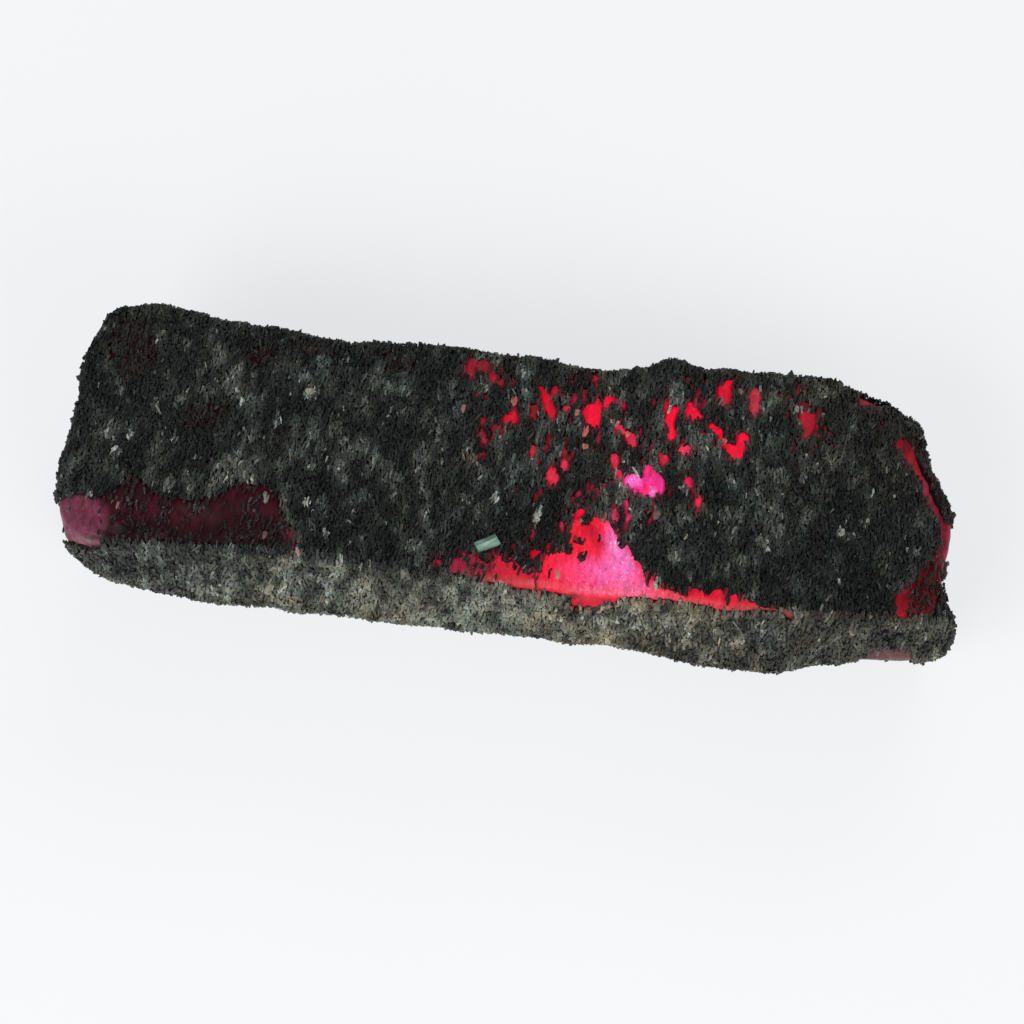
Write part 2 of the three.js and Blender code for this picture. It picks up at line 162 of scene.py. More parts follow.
# Windows with ragged outlines: the light in them, and corner points in plan
CUT_WINDOWS = [
    ("red_dull", [
        (-1.39, 4.64), (-1.18, 5.08), (-0.87, 5.04), (-0.64, 5.57), (-0.3, 5.28), (-0.14, 4.62),
        (-0.3, 4.1), (-0.73, 3.84), (-1.21, 4.07),
    ]),
    ("deep", [
        (0.61, 5.89), (1.11, 6.21), (1.59, 6.01), (1.64, 5.51), (1.29, 5.3), (1.37, 4.64), (1.02, 4.43),
        (0.72, 4.98), (0.9, 5.42),
    ]),
    ("red_dull", [
        (1.25, 7.88), (1.55, 7.87), (2.09, 7.17), (2.5, 6.63), (2.87, 6.0), (3.01, 5.51), (2.92, 5.0),
        (2.64, 4.75), (2.34, 5.05), (2.0, 5.73), (1.71, 6.54), (1.45, 7.18),
    ]),
    ("red", [
        (5.21, 5.92), (5.32, 6.46), (5.72, 6.7), (6.13, 6.84), (6.21, 7.61), (6.48, 7.45), (6.72, 6.87),
        (6.85, 5.89), (6.79, 5.18), (6.66, 4.6), (6.35, 4.46), (5.95, 4.6), (5.49, 4.97), (5.35, 5.47),
    ]),
    ("pink_red", [
        (2.77, -0.19), (3.14, 0.52), (3.52, 0.48), (3.81, -0.06), (3.93, -0.46), (3.7, -1.07),
        (3.35, -1.27), (2.96, -0.83),
    ]),
    ("red", [
        (6.73, 7.24), (7.16, 7.73), (7.63, 7.64), (7.71, 7.22), (7.47, 6.75), (7.22, 6.36), (7.0, 6.55),
        (6.83, 6.89),
    ]),
    ("pink_red", [
        (8.1, 5.1), (8.39, 5.35), (8.68, 5.1), (8.85, 4.69), (9.32, 4.6), (9.66, 4.43), (9.98, 3.82),
        (10.04, 3.4), (9.81, 3.02), (9.54, 3.13), (9.23, 3.59), (8.85, 4.12), (8.45, 4.28), (8.14, 4.67),
    ]),
    ("pink_red", [
        (7.88, 1.78), (8.07, 2.38), (8.38, 2.48), (8.6, 2.23), (8.67, 1.59), (8.55, 1.22), (8.66, 1.1),
        (8.93, 0.99), (9.24, 0.46), (9.36, -0.02), (8.91, -0.06), (8.65, 0.53), (8.27, 0.48), (8.34, 1.06),
        (7.96, 1.58),
    ]),
    ("red", [
        (12.57, 6.95), (12.79, 7.34), (13.11, 7.37), (13.21, 7.03), (13.05, 6.64), (12.98, 6.06),
        (12.97, 5.55), (13.13, 5.21), (13.24, 4.73), (13.09, 4.28), (12.79, 4.1), (12.49, 4.2),
        (12.41, 4.7), (12.48, 5.28), (12.21, 5.39), (12.18, 5.96), (12.28, 6.55),
    ]),
    ("red", [
        (13.71, 7.16), (13.94, 7.48), (13.92, 7.98), (14.16, 7.94), (14.33, 7.45), (14.67, 7.35),
        (14.75, 7.14), (15.1, 6.9), (15.28, 6.63), (15.08, 6.39), (14.69, 6.41), (14.46, 6.17),
        (14.04, 6.41), (13.76, 6.66),
    ]),
    ("pink_red", [
        (12.03, 3.0), (12.16, 2.95), (12.26, 2.39), (12.34, 2.83), (12.58, 2.93), (12.82, 2.53),
        (12.74, 2.02), (12.44, 1.77), (12.21, 1.89), (12.05, 2.44),
    ]),
    ("red_dull", [
        (16.3, 9.73), (16.74, 9.93), (16.95, 10.39), (17.19, 10.68), (17.55, 10.61), (17.5, 10.1),
        (17.33, 9.79), (17.46, 9.15), (17.45, 8.56), (17.36, 8.12), (16.84, 8.13), (16.48, 8.45),
        (16.3, 9.0),
    ]),
    ("salmon_dull", [
        (18.94, 8.89), (18.97, 9.33), (19.12, 9.79), (19.4, 9.97), (19.75, 9.65), (20.0, 9.39),
        (20.04, 8.88), (19.84, 8.57), (19.91, 8.14), (19.89, 7.71), (19.62, 7.38), (19.31, 7.27),
        (19.12, 7.76), (19.04, 8.32),
    ]),
    ("red", [
        (15.83, 6.05), (16.11, 6.27), (16.45, 6.06), (16.86, 5.82), (17.15, 5.5), (17.11, 5.13),
        (17.4, 4.81), (17.87, 4.58), (18.27, 4.42), (18.37, 4.79), (18.33, 5.21), (18.55, 5.6),
        (18.94, 5.65), (19.22, 5.39), (19.35, 4.98), (19.18, 4.32), (19.04, 3.73), (18.95, 3.29),
        (18.54, 2.95), (18.08, 2.97), (17.79, 3.36), (17.5, 3.75), (17.13, 4.28), (16.84, 4.6),
        (16.88, 4.89), (16.47, 5.13), (16.06, 5.36), (15.9, 5.7),
    ]),
    ("crimson", [
        (23.33, 7.93), (23.98, 8.28), (24.58, 8.09), (24.76, 7.24), (24.7, 6.59), (24.36, 6.01),
        (23.91, 5.53), (23.69, 5.93), (23.93, 6.5), (23.6, 6.99), (23.37, 7.4),
    ]),
    ("deep", [
        (28.23, 9.78), (28.27, 10.6), (28.81, 11.11), (29.79, 11.01), (29.59, 9.68), (29.24, 9.2),
        (28.74, 9.36), (28.35, 9.47),
    ]),
    ("pink_dull", [
        (5.47, -1.67), (5.74, -1.35), (6.07, -1.68), (6.24, -2.15), (5.82, -2.12), (5.54, -1.91),
    ]),
    ("red", [
        (5.66, -3.37), (5.98, -2.84), (6.35, -2.87), (6.49, -3.26), (6.08, -3.72), (5.75, -4.13),
        (5.6, -3.74),
    ]),
    ("red_dull", [
        (2.32, -7.18), (2.66, -6.9), (3.12, -7.09), (3.23, -7.32), (2.84, -7.77), (2.61, -8.2),
        (2.42, -7.74),
    ]),
    ("crimson", [
        (3.4, -6.89), (3.58, -6.51), (3.85, -6.35), (4.01, -6.74), (3.78, -7.01), (3.46, -7.06),
    ]),
    ("magenta", [
        (9.34, -0.29), (9.33, 0.29), (9.64, 0.57), (10.07, 0.75), (10.45, 0.67), (10.71, 0.37),
        (10.99, 0.49), (10.86, 1.05), (10.89, 1.47), (11.2, 1.72), (11.63, 1.56), (11.98, 1.11),
        (12.31, 0.82), (12.57, 0.44), (12.66, -0.13), (12.69, -0.7), (12.43, -1.1), (12.31, -0.67),
        (12.17, -0.77), (12.05, -1.11), (11.85, -1.3), (11.47, -1.22), (10.96, -1.32), (10.77, -0.94),
        (10.51, -0.64), (10.49, -1.14), (10.24, -1.25), (10.02, -0.95), (9.9, -0.47), (9.59, -0.42),
        (9.47, -0.69),
    ]),
    ("cerise", [
        (14.24, 0.56), (14.4, 0.83), (14.75, 1.03), (14.95, 0.56), (15.0, -0.01), (14.79, -0.11),
        (14.48, 0.01),
    ]),
    ("maroon", [
        (-33.59, -6.83), (-32.94, -6.25), (-31.97, -6.63), (-31.3, -7.85), (-31.1, -8.97), (-32.39, -9.29),
        (-33.27, -8.59),
    ]),
    ("plum", [
        (-30.71, -7.78), (-30.09, -7.05), (-29.08, -5.94), (-28.38, -6.51), (-28.48, -7.67),
        (-29.25, -8.42), (-30.42, -8.56),
    ]),
    ("maroon", [
        (-28.23, -6.5), (-27.52, -6.25), (-26.56, -6.62), (-25.7, -6.35), (-24.75, -5.74), (-24.02, -5.65),
        (-23.59, -6.42), (-23.7, -7.57), (-24.15, -8.44), (-25.56, -8.94), (-27.06, -8.96), (-28.26, -8.95),
        (-28.63, -8.51),
    ]),
    ("maroon", [
        (-23.18, -5.22), (-22.48, -3.98), (-21.23, -4.32), (-19.95, -3.84), (-19.45, -5.09),
        (-18.69, -6.14), (-19.17, -6.86), (-20.67, -6.88), (-22.01, -6.88), (-22.92, -6.83),
    ]),
    ("plum", [
        (-18.58, -6.78), (-18.04, -7.37), (-17.9, -8.32), (-16.68, -8.5), (-15.41, -8.02), (-15.02, -8.62),
        (-16.26, -9.26), (-16.46, -9.93), (-17.53, -9.73), (-18.04, -9.31),
    ]),
    ("maroon", [
        (-29.0, -9.85), (-28.17, -9.42), (-27.69, -10.5), (-28.19, -11.04), (-28.86, -10.64),
    ]),
]
# The lit window, and the thin one that runs along the front edge past both its sides
GLOW = [
    (7.2, -4.48), (7.09, -4.13), (7.25, -3.58), (7.62, -3.53), (7.96, -3.9), (8.32, -3.77), (8.65, -4.14),
    (8.92, -4.51), (9.19, -4.97), (9.47, -5.5), (9.67, -6.04), (10.05, -6.07), (10.15, -5.66),
    (10.31, -5.8), (10.52, -6.34), (10.72, -6.88), (11.12, -7.15), (11.44, -7.51), (11.81, -8.11),
    (12.01, -8.65), (12.16, -9.03), (12.27, -9.25), (12.38, -8.89), (12.44, -8.05), (12.68, -8.4),
    (12.86, -8.99), (13.12, -9.43), (12.94, -9.81), (10.51, -10.42), (8.46, -10.49), (6.7, -10.54),
    (5.37, -10.47), (4.48, -10.42), (3.9, -10.25), (3.52, -8.57), (3.52, -7.92), (3.56, -7.6),
    (3.89, -7.27), (4.26, -7.27), (4.53, -7.07), (4.89, -6.95), (5.42, -7.09), (5.75, -7.01), (5.74, -6.6),
    (5.65, -6.21), (5.54, -5.58), (5.44, -5.27), (5.32, -5.04), (5.52, -4.69), (5.55, -4.36), (5.82, -4.12),
    (6.05, -4.13), (6.38, -4.42), (6.8, -4.53),
]
EDGE = [
    (-4.31, -9.62), (-3.94, -9.3), (-3.89, -8.95), (-3.67, -8.65), (-3.32, -8.47), (-3.45, -8.17),
    (-3.19, -7.97), (-2.85, -8.14), (-2.47, -8.16), (-2.19, -8.36), (-1.8, -8.42), (-1.45, -8.65),
    (-1.11, -8.82), (-0.87, -8.51), (-0.84, -7.96), (-0.54, -7.78), (-0.21, -7.95), (-0.02, -8.41),
    (0.18, -8.52), (0.33, -8.16), (0.88, -8.02), (1.17, -8.26), (1.34, -8.66), (1.63, -8.96), (2.06, -9.32),
    (2.4, -9.56), (2.77, -9.1), (3.36, -9.11), (3.63, -8.83), (4.58, -10.01), (8.99, -9.94), (12.33, -9.53),
    (13.11, -9.31), (13.62, -9.21), (14.07, -9.35), (14.83, -9.54), (15.65, -9.76), (15.81, -9.14),
    (16.23, -8.93), (16.68, -9.03), (16.93, -9.32), (17.52, -9.34), (17.99, -8.84), (18.34, -8.71),
    (18.57, -9.08), (18.64, -9.87), (18.93, -10.28), (19.1, -9.74), (19.08, -9.21), (19.48, -9.13),
    (19.82, -9.6), (20.38, -9.37), (21.06, -9.61), (21.76, -10.0), (23.07, -9.96), (23.09, -10.15),
    (21.5, -10.39), (20.07, -10.73), (19.19, -10.79), (18.33, -10.89), (17.56, -10.51), (16.08, -10.38),
    (14.32, -10.35), (12.86, -10.45), (10.53, -10.58), (10.04, -10.8), (9.6, -11.3), (9.13, -11.23),
    (8.86, -11.42), (8.4, -11.95), (7.74, -11.92), (7.31, -12.05), (6.99, -11.78), (6.5, -12.03),
    (6.22, -11.71), (6.42, -11.34), (5.74, -11.11), (4.69, -10.98), (3.95, -10.91), (2.74, -10.95),
    (2.19, -10.98), (1.69, -10.98), (1.03, -10.75), (0.7, -10.62), (0.04, -10.46), (-0.37, -10.68),
    (-0.88, -10.64), (-1.33, -10.6), (-1.74, -10.34), (-2.21, -10.19), (-2.86, -10.0), (-3.89, -9.92),
]
# Windows that go past the outline: the left corner, the right edge, and low at the right
CORNER = [
    (-37.97, -7.66), (-37.03, -7.27), (-35.84, -6.85), (-34.74, -6.9), (-33.88, -7.43), (-33.39, -8.74),
    (-32.9, -10.5), (-33.05, -11.52), (-34.0, -11.81), (-35.06, -11.49), (-36.29, -11.19), (-37.52, -10.89),
]
STRIP = [
    (31.36, 5.99), (32.08, 5.41), (32.57, 4.52), (33.31, 3.67), (34.13, 2.83), (34.27, 1.9), (34.75, 1.03),
    (35.32, -0.02), (35.87, -0.61), (35.84, -1.63), (35.98, -2.54), (35.79, -3.49), (35.17, -4.3),
    (34.54, -4.93), (34.42, -5.68), (33.62, -6.32), (32.92, -7.14), (32.82, -8.06), (32.63, -8.99),
    (32.76, -9.69), (33.34, -9.66), (33.69, -8.68), (34.65, -9.28), (35.62, -8.8), (35.91, -7.68),
    (36.33, -6.81), (38.46, -6.18), (38.16, -0.79), (36.64, -0.76), (36.1, -0.21), (35.9, 0.23),
    (35.37, 1.1), (34.98, 1.99), (34.63, 2.89), (34.15, 3.77), (33.66, 4.85), (33.16, 5.93), (32.6, 6.62),
    (31.92, 6.54),
]
LOW_RIGHT = [
    (28.91, -13.97), (30.28, -13.5), (31.48, -12.87), (32.7, -12.49), (34.03, -12.59), (34.28, -13.45),
    (34.16, -14.53), (30.39, -14.99), (29.04, -14.63),
]

# Veiled windows, where some grains still lie over the ruby: a long one, and spots on the top
MAROON = [
    (-34.85, -7.19), (-33.81, -6.87), (-32.87, -6.02), (-32.01, -5.18), (-31.23, -4.34), (-30.18, -5.05),
    (-29.28, -5.86), (-27.56, -6.01), (-25.7, -6.06), (-24.43, -5.63), (-23.47, -4.78), (-22.59, -4.02),
    (-21.41, -3.97), (-20.15, -4.0), (-19.26, -4.81), (-18.54, -6.19), (-17.69, -7.36), (-17.03, -8.37),
    (-17.74, -9.19), (-19.67, -9.6), (-22.96, -9.92), (-25.6, -10.15), (-28.07, -10.36), (-30.52, -10.67),
    (-32.18, -10.78), (-33.4, -10.4), (-33.6, -8.9), (-34.0, -7.5),
]
SPOTS = [
    [
        (-28.71, 1.67), (-27.75, 2.54), (-26.26, 2.82), (-25.04, 2.68), (-24.17, 2.03), (-24.57, 0.86),
        (-25.95, -0.06), (-27.51, 0.12), (-28.39, 0.76),
    ],
    [
        (-23.9, 8.26), (-22.96, 8.86), (-21.76, 8.91), (-20.98, 8.33), (-21.31, 7.14), (-22.6, 6.6),
        (-23.64, 7.23),
    ],
    [
        (-35.57, 8.86), (-34.76, 10.12), (-33.2, 10.12), (-31.81, 9.12), (-31.45, 7.05), (-31.62, 5.11),
        (-32.8, 4.01), (-34.21, 4.22), (-35.26, 6.19),
    ],
    [
        (-20.41, 9.07), (-19.5, 9.86), (-16.9, 9.79), (-14.93, 9.27), (-16.71, 8.47), (-19.24, 8.16),
    ],
    [
        (-12.37, 9.39), (-11.27, 10.1), (-10.01, 9.68), (-9.66, 8.38), (-10.54, 7.31), (-11.8, 7.73),
    ],
]

# Crust that lies over the lit windows: one outline, and round patches
BITE = [
    (5.53, -5.78), (5.92, -5.63), (6.33, -5.64), (6.5, -5.78), (6.71, -5.93), (6.58, -6.19), (6.2, -6.16),
    (5.83, -6.15), (5.57, -6.14),
]
BITES = [
    (7.83, -5.6, 0.19, 0.37), (6.72, -7.29, 0.32, 0.39), (6.76, -4.17, 0.26, 0.31),
    (4.16, -9.07, 0.12, 0.56), (9.75, -5.71, 0.25, 0.37), (8.24, -7.14, 0.09, 0.11),
    (-26.69, -7.62, 0.68, 0.93), (-24.71, -7.78, 0.71, 0.93),
]

# The pale line along the front's upper edge, in plan
EDGE_LINE = [
    (-4.78, -10.3), (-2.3, -10.26), (-0.64, -10.27), (0.96, -10.22), (1.91, -10.23), (3.88, -10.13),
    (6.04, -10.27), (9.0, -10.18), (10.49, -10.24), (12.83, -10.14), (14.29, -10.1), (16.07, -10.15),
    (17.56, -10.23), (18.72, -10.36), (20.02, -10.33), (21.49, -10.24), (24.02, -10.15), (28.09, -9.91),
    (32.15, -9.51), (35.38, -9.02),
]

# Larger pale grains: place in plan, half-widths along and across, tone and tint
PALE_GRAINS = [
    (-5.2, 4.7, 0.42, 0.64, 0.8, 0.7), (-6.4, 3.5, 0.5, 0.45, 0.8, 0.5), (-0.4, 9.1, 0.42, 0.45, 0.86, 0.4),
    (3.4, 4.9, 0.25, 0.36, 0.88, 0.7), (9.1, 5.3, 0.25, 0.45, 0.93, 0.4), (9.3, 1.9, 0.33, 0.45, 0.84, 0.7),
    (-2.3, -0.8, 0.42, 0.55, 0.84, 0.45), (2.5, -4.1, 0.25, 0.55, 0.98, 0.5),
    (-1.1, -2.9, 0.17, 0.36, 0.96, 0.5), (12.2, -2.8, 0.42, 0.45, 0.82, 0.6),
    (13.0, -9.0, 0.21, 0.45, 0.99, 0.8), (4.8, -9.5, 0.33, 0.55, 0.86, 0.85),
    (14.4, -0.5, 0.25, 0.45, 0.86, 0.5), (14.8, 4.4, 0.33, 0.36, 0.84, 0.5),
    (-9.4, -2.0, 0.33, 0.45, 0.8, 0.4), (-3.5, -3.3, 0.42, 0.55, 0.76, 0.2),
    (-1.4, 2.1, 0.33, 0.45, 0.84, 0.25), (-17.8, 4.8, 0.5, 0.45, 0.96, 0.8),
    (-22.8, 3.6, 0.42, 0.55, 0.86, 0.5), (-20.2, 2.0, 0.33, 0.45, 0.88, 0.5),
    (-30.6, 2.2, 0.33, 0.55, 0.84, 0.45), (-34.2, -1.0, 0.25, 0.45, 0.94, 0.6),
    (-32.3, -0.9, 0.21, 0.36, 0.94, 0.5), (-28.3, -4.9, 0.33, 0.55, 0.92, 0.4),
    (-34.7, -6.6, 0.17, 0.36, 0.92, 0.6), (-19.9, -5.0, 0.21, 0.45, 0.93, 0.8),
    (-15.3, -5.2, 0.42, 0.64, 0.8, 0.5), (-16.6, -5.3, 0.25, 0.32, 0.94, 0.5),
    (-14.6, -7.9, 0.17, 0.45, 0.97, 0.5), (-31.2, 8.3, 0.33, 0.36, 0.84, 0.5),
    (-29.0, 8.2, 0.33, 0.36, 0.82, 0.5), (-16.3, -0.1, 0.42, 0.45, 0.8, 0.2),
    (-27.2, 6.0, 0.29, 0.36, 0.84, 0.2), (-19.0, 6.3, 0.21, 0.55, 0.88, 0.8),
    (-28.5, -0.7, 0.25, 0.36, 0.86, 0.5), (-33.2, -2.6, 0.42, 0.45, 0.8, 0.5),
    (27.5, -2.6, 0.29, 0.32, 0.96, 0.85), (29.7, -1.5, 0.17, 0.36, 0.95, 0.7),
    (21.6, -4.4, 0.25, 0.55, 0.88, 0.4), (33.9, -0.7, 0.33, 0.45, 0.82, 0.2),
    (34.0, -3.6, 0.25, 0.27, 0.9, 0.5), (29.9, 1.3, 0.13, 0.23, 0.98, 0.5),
    (27.9, 7.1, 0.25, 0.82, 0.78, 0.85), (17.6, 6.9, 0.25, 0.45, 0.84, 0.2),
    (20.7, -0.6, 0.29, 0.55, 0.78, 0.1), (24.2, 3.6, 0.42, 0.55, 0.76, 0.3),
    (36.0, -12.3, 0.25, 0.36, 0.88, 0.5), (-13.1, -10.1, 0.25, 0.36, 0.9, 0.5),
    (-25.8, -12.6, 0.33, 0.45, 0.86, 0.7), (-17.0, -12.6, 0.25, 0.36, 0.86, 0.85),
    (-3.4, -11.6, 0.25, 0.36, 0.9, 0.5), (14.1, -12.1, 0.5, 0.55, 0.7, 1),
    (11.3, -11.4, 0.42, 0.45, 0.86, 0.8), (16.1, -12.7, 0.33, 0.36, 0.8, 0.9),
    (14.4, -13.8, 0.33, 0.36, 0.74, 1),
]

# Clear grains lit red by painted light, as if the red light shines through them: place in plan,
# half-widths, and the colour
LIT_GRAINS = [
    (-0.7, 6.11, 0.37, 0.5, (0.485, 0.058, 0.08)), (5.83, 3.93, 0.35, 0.64, (0.68, 0.102, 0.091)),
    (5.91, 2.89, 0.38, 0.36, (0.515, 0.162, 0.098)), (4.89, 5.58, 0.33, 0.4, (0.485, 0.141, 0.127)),
    (-3.26, 0.56, 0.21, 0.4, (0.156, 0.061, 0.053)), (8.18, 4.97, 0.2, 0.38, (0.61, 0.171, 0.156)),
    (9.1, 4.33, 0.26, 0.29, (0.61, 0.091, 0.07)), (17.17, 4.64, 0.22, 0.31, (0.68, 0.114, 0.102)),
    (12.3, -2.8, 0.38, 0.47, (0.171, 0.098, 0.098)), (4.74, -9.34, 0.25, 0.55, (0.485, 0.223, 0.141)),
    (18.43, 9.19, 0.29, 0.34, (0.156, 0.053, 0.045)), (-4.93, 4.79, 0.29, 0.48, (0.305, 0.114, 0.102)),
    (6.1, -4.21, 0.29, 0.24, (0.305, 0.08, 0.061)), (-32.25, -7.56, 0.17, 0.36, (0.183, 0.048, 0.055)),
    (-16.64, -9.71, 0.17, 0.36, (0.408, 0.183, 0.211)), (-19.48, -8.68, 0.26, 0.48, (0.113, 0.042, 0.048)),
    (0.17, -10.45, 0.25, 0.17, (0.578, 0.223, 0.188)), (-1.4, -10.78, 0.19, 0.17, (0.429, 0.223, 0.188)),
]

# Grains that stand out of the outline: place in plan, half-width and half-height
CRAGS = [
    (22.3, 10.9, 0.7, 1.0), (-37.7, 3.7, 0.5, 0.55), (32.6, 8.0, 0.5, 0.7), (-31.0, 10.5, 0.3, 0.45),
    (-16.0, 9.3, 0.25, 0.4), (-19.6, 10.3, 0.25, 0.45), (-33.4, 10.9, 0.35, 0.5), (9.2, 10.9, 0.5, 0.35),
]

# Windows on the hidden sides: the place, the way it faces, and half-widths along and across
OTHER_WINDOWS = [
    ((-14.0, 11.8, 10.0), (0, 1, 0.1), (2.2, 1.4)),
    ((11.0, 12.2, 8.6), (0, 1, 0.1), (1.3, 1.8)),
    ((-37.3, 1.9, 6.8), (-1, 0, 0), (1.7, 1.3)),
    ((20.0, 0.8, 0.0), (0, 0, -1), (2.6, 1.5)),
    ((-19.0, -2.2, 0.0), (0, 0, -1), (1.9, 2.2)),
]

rng = np.random.default_rng(7)


def specks(count):
    """Small windows near the others of the lit cluster."""
    r = np.random.default_rng(23)
    lit = [w for w in WINDOWS if w[2] > -4]
    out = []
    for _ in range(count):
        x, y = lit[r.integers(len(lit))][1:3]
        dx, dy = r.normal(0, 0.8, 2)
        light = ("dim", "rose", "deep")[r.integers(3)]
        out.append((light, x + dx, y + dy, r.uniform(0.09, 0.17), r.uniform(0.2, 0.4)))
    return out


SPECKS = specks(90)


# Noise and small helpers

def scatter(cells, salt):
    """A fixed random number from 0 to 1 for each lattice cell."""
    s = np.sin(cells @ np.array([127.1, 311.7, 74.7]) + salt * 19.19) * 43758.5453
    return s - np.floor(s)


def swell(points, size, salt=0):
    """Smooth noise from -1 to 1, with features about as wide as size."""
    p = points / size
    cell = np.floor(p)
    f = p - cell
    f = f * f * (3 - 2 * f)
    total = np.zeros(len(p))
    for corner in np.ndindex(2, 2, 2):
        c = np.array(corner)
        share = np.prod(np.where(c, f, 1 - f), axis=1)
        total += share * scatter(cell + c, salt)
    return 2 * total - 1


def smooth_step(low, high, x):
    """0 at low, 1 at high, and smooth between them."""
    t = np.clip((x - low) / (high - low), 0, 1)
    return t * t * (3 - 2 * t)


def unit(v):
    return v / np.maximum(np.linalg.norm(v, axis=-1, keepdims=True), 1e-12)


def plan(points):
    """Where points fall on the level of the top face, seen from SIGHT."""
    t = (TOP - SIGHT[2]) / (points[:, 2] - SIGHT[2])
    return SIGHT[:2] + (points[:, :2] - SIGHT[:2]) * t[:, None]


def new_object(name, data):
    obj = bpy.data.objects.new(name, data)
    bpy.context.scene.collection.objects.link(obj)
    return obj


# Meshes as arrays, in millimetres

def triangles_of(mesh, join=0):
    """A mesh's corners and triangles. Corners nearer than join become one."""
    bm = bmesh.new()
    bm.from_mesh(mesh)
    if join:
        bmesh.ops.remove_doubles(bm, verts=bm.verts, dist=join)
    bmesh.ops.triangulate(bm, faces=bm.faces)
    v = np.array([x.co[:] for x in bm.verts])
    f = np.array([[x.index for x in face.verts] for face in bm.faces])
    bm.free()
    return v, f


def cad_arrays(name):
    v, f = triangles_of(frame["nodes"][name].data, join=1e-6)
    return v / MM, f


def new_mesh(name, v, f):
    mesh = bpy.data.meshes.new(name)
    mesh.vertices.add(len(v))
    mesh.vertices.foreach_set("co", np.ascontiguousarray(v, np.float32).ravel())
    mesh.loops.add(3 * len(f))
    mesh.loops.foreach_set("vertex_index", np.ascontiguousarray(f, np.int32).ravel())
    mesh.polygons.add(len(f))
    mesh.polygons.foreach_set("loop_start", np.arange(0, 3 * len(f), 3, dtype=np.int32))
    mesh.update(calc_edges=True)
    return mesh


def normals_of(v, f):
    n = np.cross(v[f[:, 1]] - v[f[:, 0]], v[f[:, 2]] - v[f[:, 0]])
    out = np.zeros_like(v)
    for k in range(3):
        for axis in range(3):
            out[:, axis] += np.bincount(f[:, k], n[:, axis], len(v))
    return unit(out)


def smoothed(v, f, rounds, amount=0.5):
    edges = np.unique(np.sort(np.vstack([f[:, [0, 1]], f[:, [1, 2]], f[:, [2, 0]]]), axis=1), axis=0)
    ends = np.concatenate([edges[:, 0], edges[:, 1]])
    others = np.concatenate([edges[:, 1], edges[:, 0]])
    count = np.bincount(ends, minlength=len(v))[:, None]
    for _ in range(rounds):
        total = np.stack([np.bincount(ends, v[others, k], len(v)) for k in range(3)], axis=1)
        v = v + amount * (total / np.maximum(count, 1) - v)
    return v


def refine(v, f, chosen):
    """Halves every edge of the chosen triangles, and splits their neighbours to match."""
    pairs = np.sort(np.stack([f[:, [0, 1]], f[:, [1, 2]], f[:, [2, 0]]], axis=1).reshape(-1, 2), axis=1)
    edges, which = np.unique(pairs, axis=0, return_inverse=True)
    which = which.reshape(-1, 3)
    marked = np.zeros(len(edges), bool)
    marked[which[chosen].ravel()] = True
    middle = np.full(len(edges), -1)
    middle[marked] = len(v) + np.arange(marked.sum())
    v = np.vstack([v, v[edges[marked]].mean(axis=1)])
    m = middle[which]
    count = (m >= 0).sum(axis=1)
    parts = [f[count == 0]]
    t, k = f[count == 3], m[count == 3]
    parts += [
        np.stack([t[:, 0], k[:, 0], k[:, 2]], 1), np.stack([k[:, 0], t[:, 1], k[:, 1]], 1),
        np.stack([k[:, 2], k[:, 1], t[:, 2]], 1), k,
    ]
    for first in range(3):
        turn = [(first + i) % 3 for i in range(3)]
        one = (count == 1) & (m[:, first] >= 0)
        t, k = f[one][:, turn], m[one][:, turn]
        parts += [np.stack([t[:, 0], k[:, 0], t[:, 2]], 1), np.stack([k[:, 0], t[:, 1], t[:, 2]], 1)]
        two = (count == 2) & (m[:, turn[2]] < 0)
        t, k = f[two][:, turn], m[two][:, turn]
        parts += [
            np.stack([k[:, 0], t[:, 1], k[:, 1]], 1), np.stack([t[:, 0], k[:, 0], k[:, 1]], 1),
            np.stack([t[:, 0], k[:, 1], t[:, 2]], 1),
        ]
    return v, np.vstack(parts)


def without_loose(v, f):
    """Drops the corners that no triangle uses."""
    used = np.unique(f)
    index = np.full(len(v), -1)
    index[used] = np.arange(len(used))
    return v[used], index[f]


def largest_part(v, f):
    parent = np.arange(len(v))
    for _ in range(200):
        low = parent[f].min(axis=1)
        new = parent.copy()
        for k in range(3):
            np.minimum.at(new, f[:, k], low)
        new = new[new]
        if (new == parent).all():
            break
        parent = new
    keep = np.bincount(parent).argmax()
    return without_loose(v, f[parent[f[:, 0]] == keep])


def outer_surface():
    """The crust's mean outer surface, closed over its windows."""
    crust_v, crust_f = cad_arrays("mica_crust")
    ruby_v, ruby_f = cad_arrays("ruby_crystal")
    ruby_v = ruby_v + RUBY_OUT * normals_of(ruby_v, ruby_f)
    joined = new_mesh("joined", np.vstack([crust_v, ruby_v]), np.vstack([crust_f, ruby_f + len(crust_v)]))
    obj = new_object("joined", joined)
    remesh = obj.modifiers.new("remesh", "REMESH")
    remesh.mode = "VOXEL"
    remesh.voxel_size = VOXEL
    made = bpy.data.meshes.new_from_object(obj.evaluated_get(bpy.context.evaluated_depsgraph_get()))
    v, f = triangles_of(made)
    bpy.data.objects.remove(obj)
    for mesh in (joined, made):
        bpy.data.meshes.remove(mesh)
    v, f = largest_part(v, f)
    return smoothed(v, f, SURFACE_ROUNDS), f


# How far inside a window each point is, in millimetres; negative outside

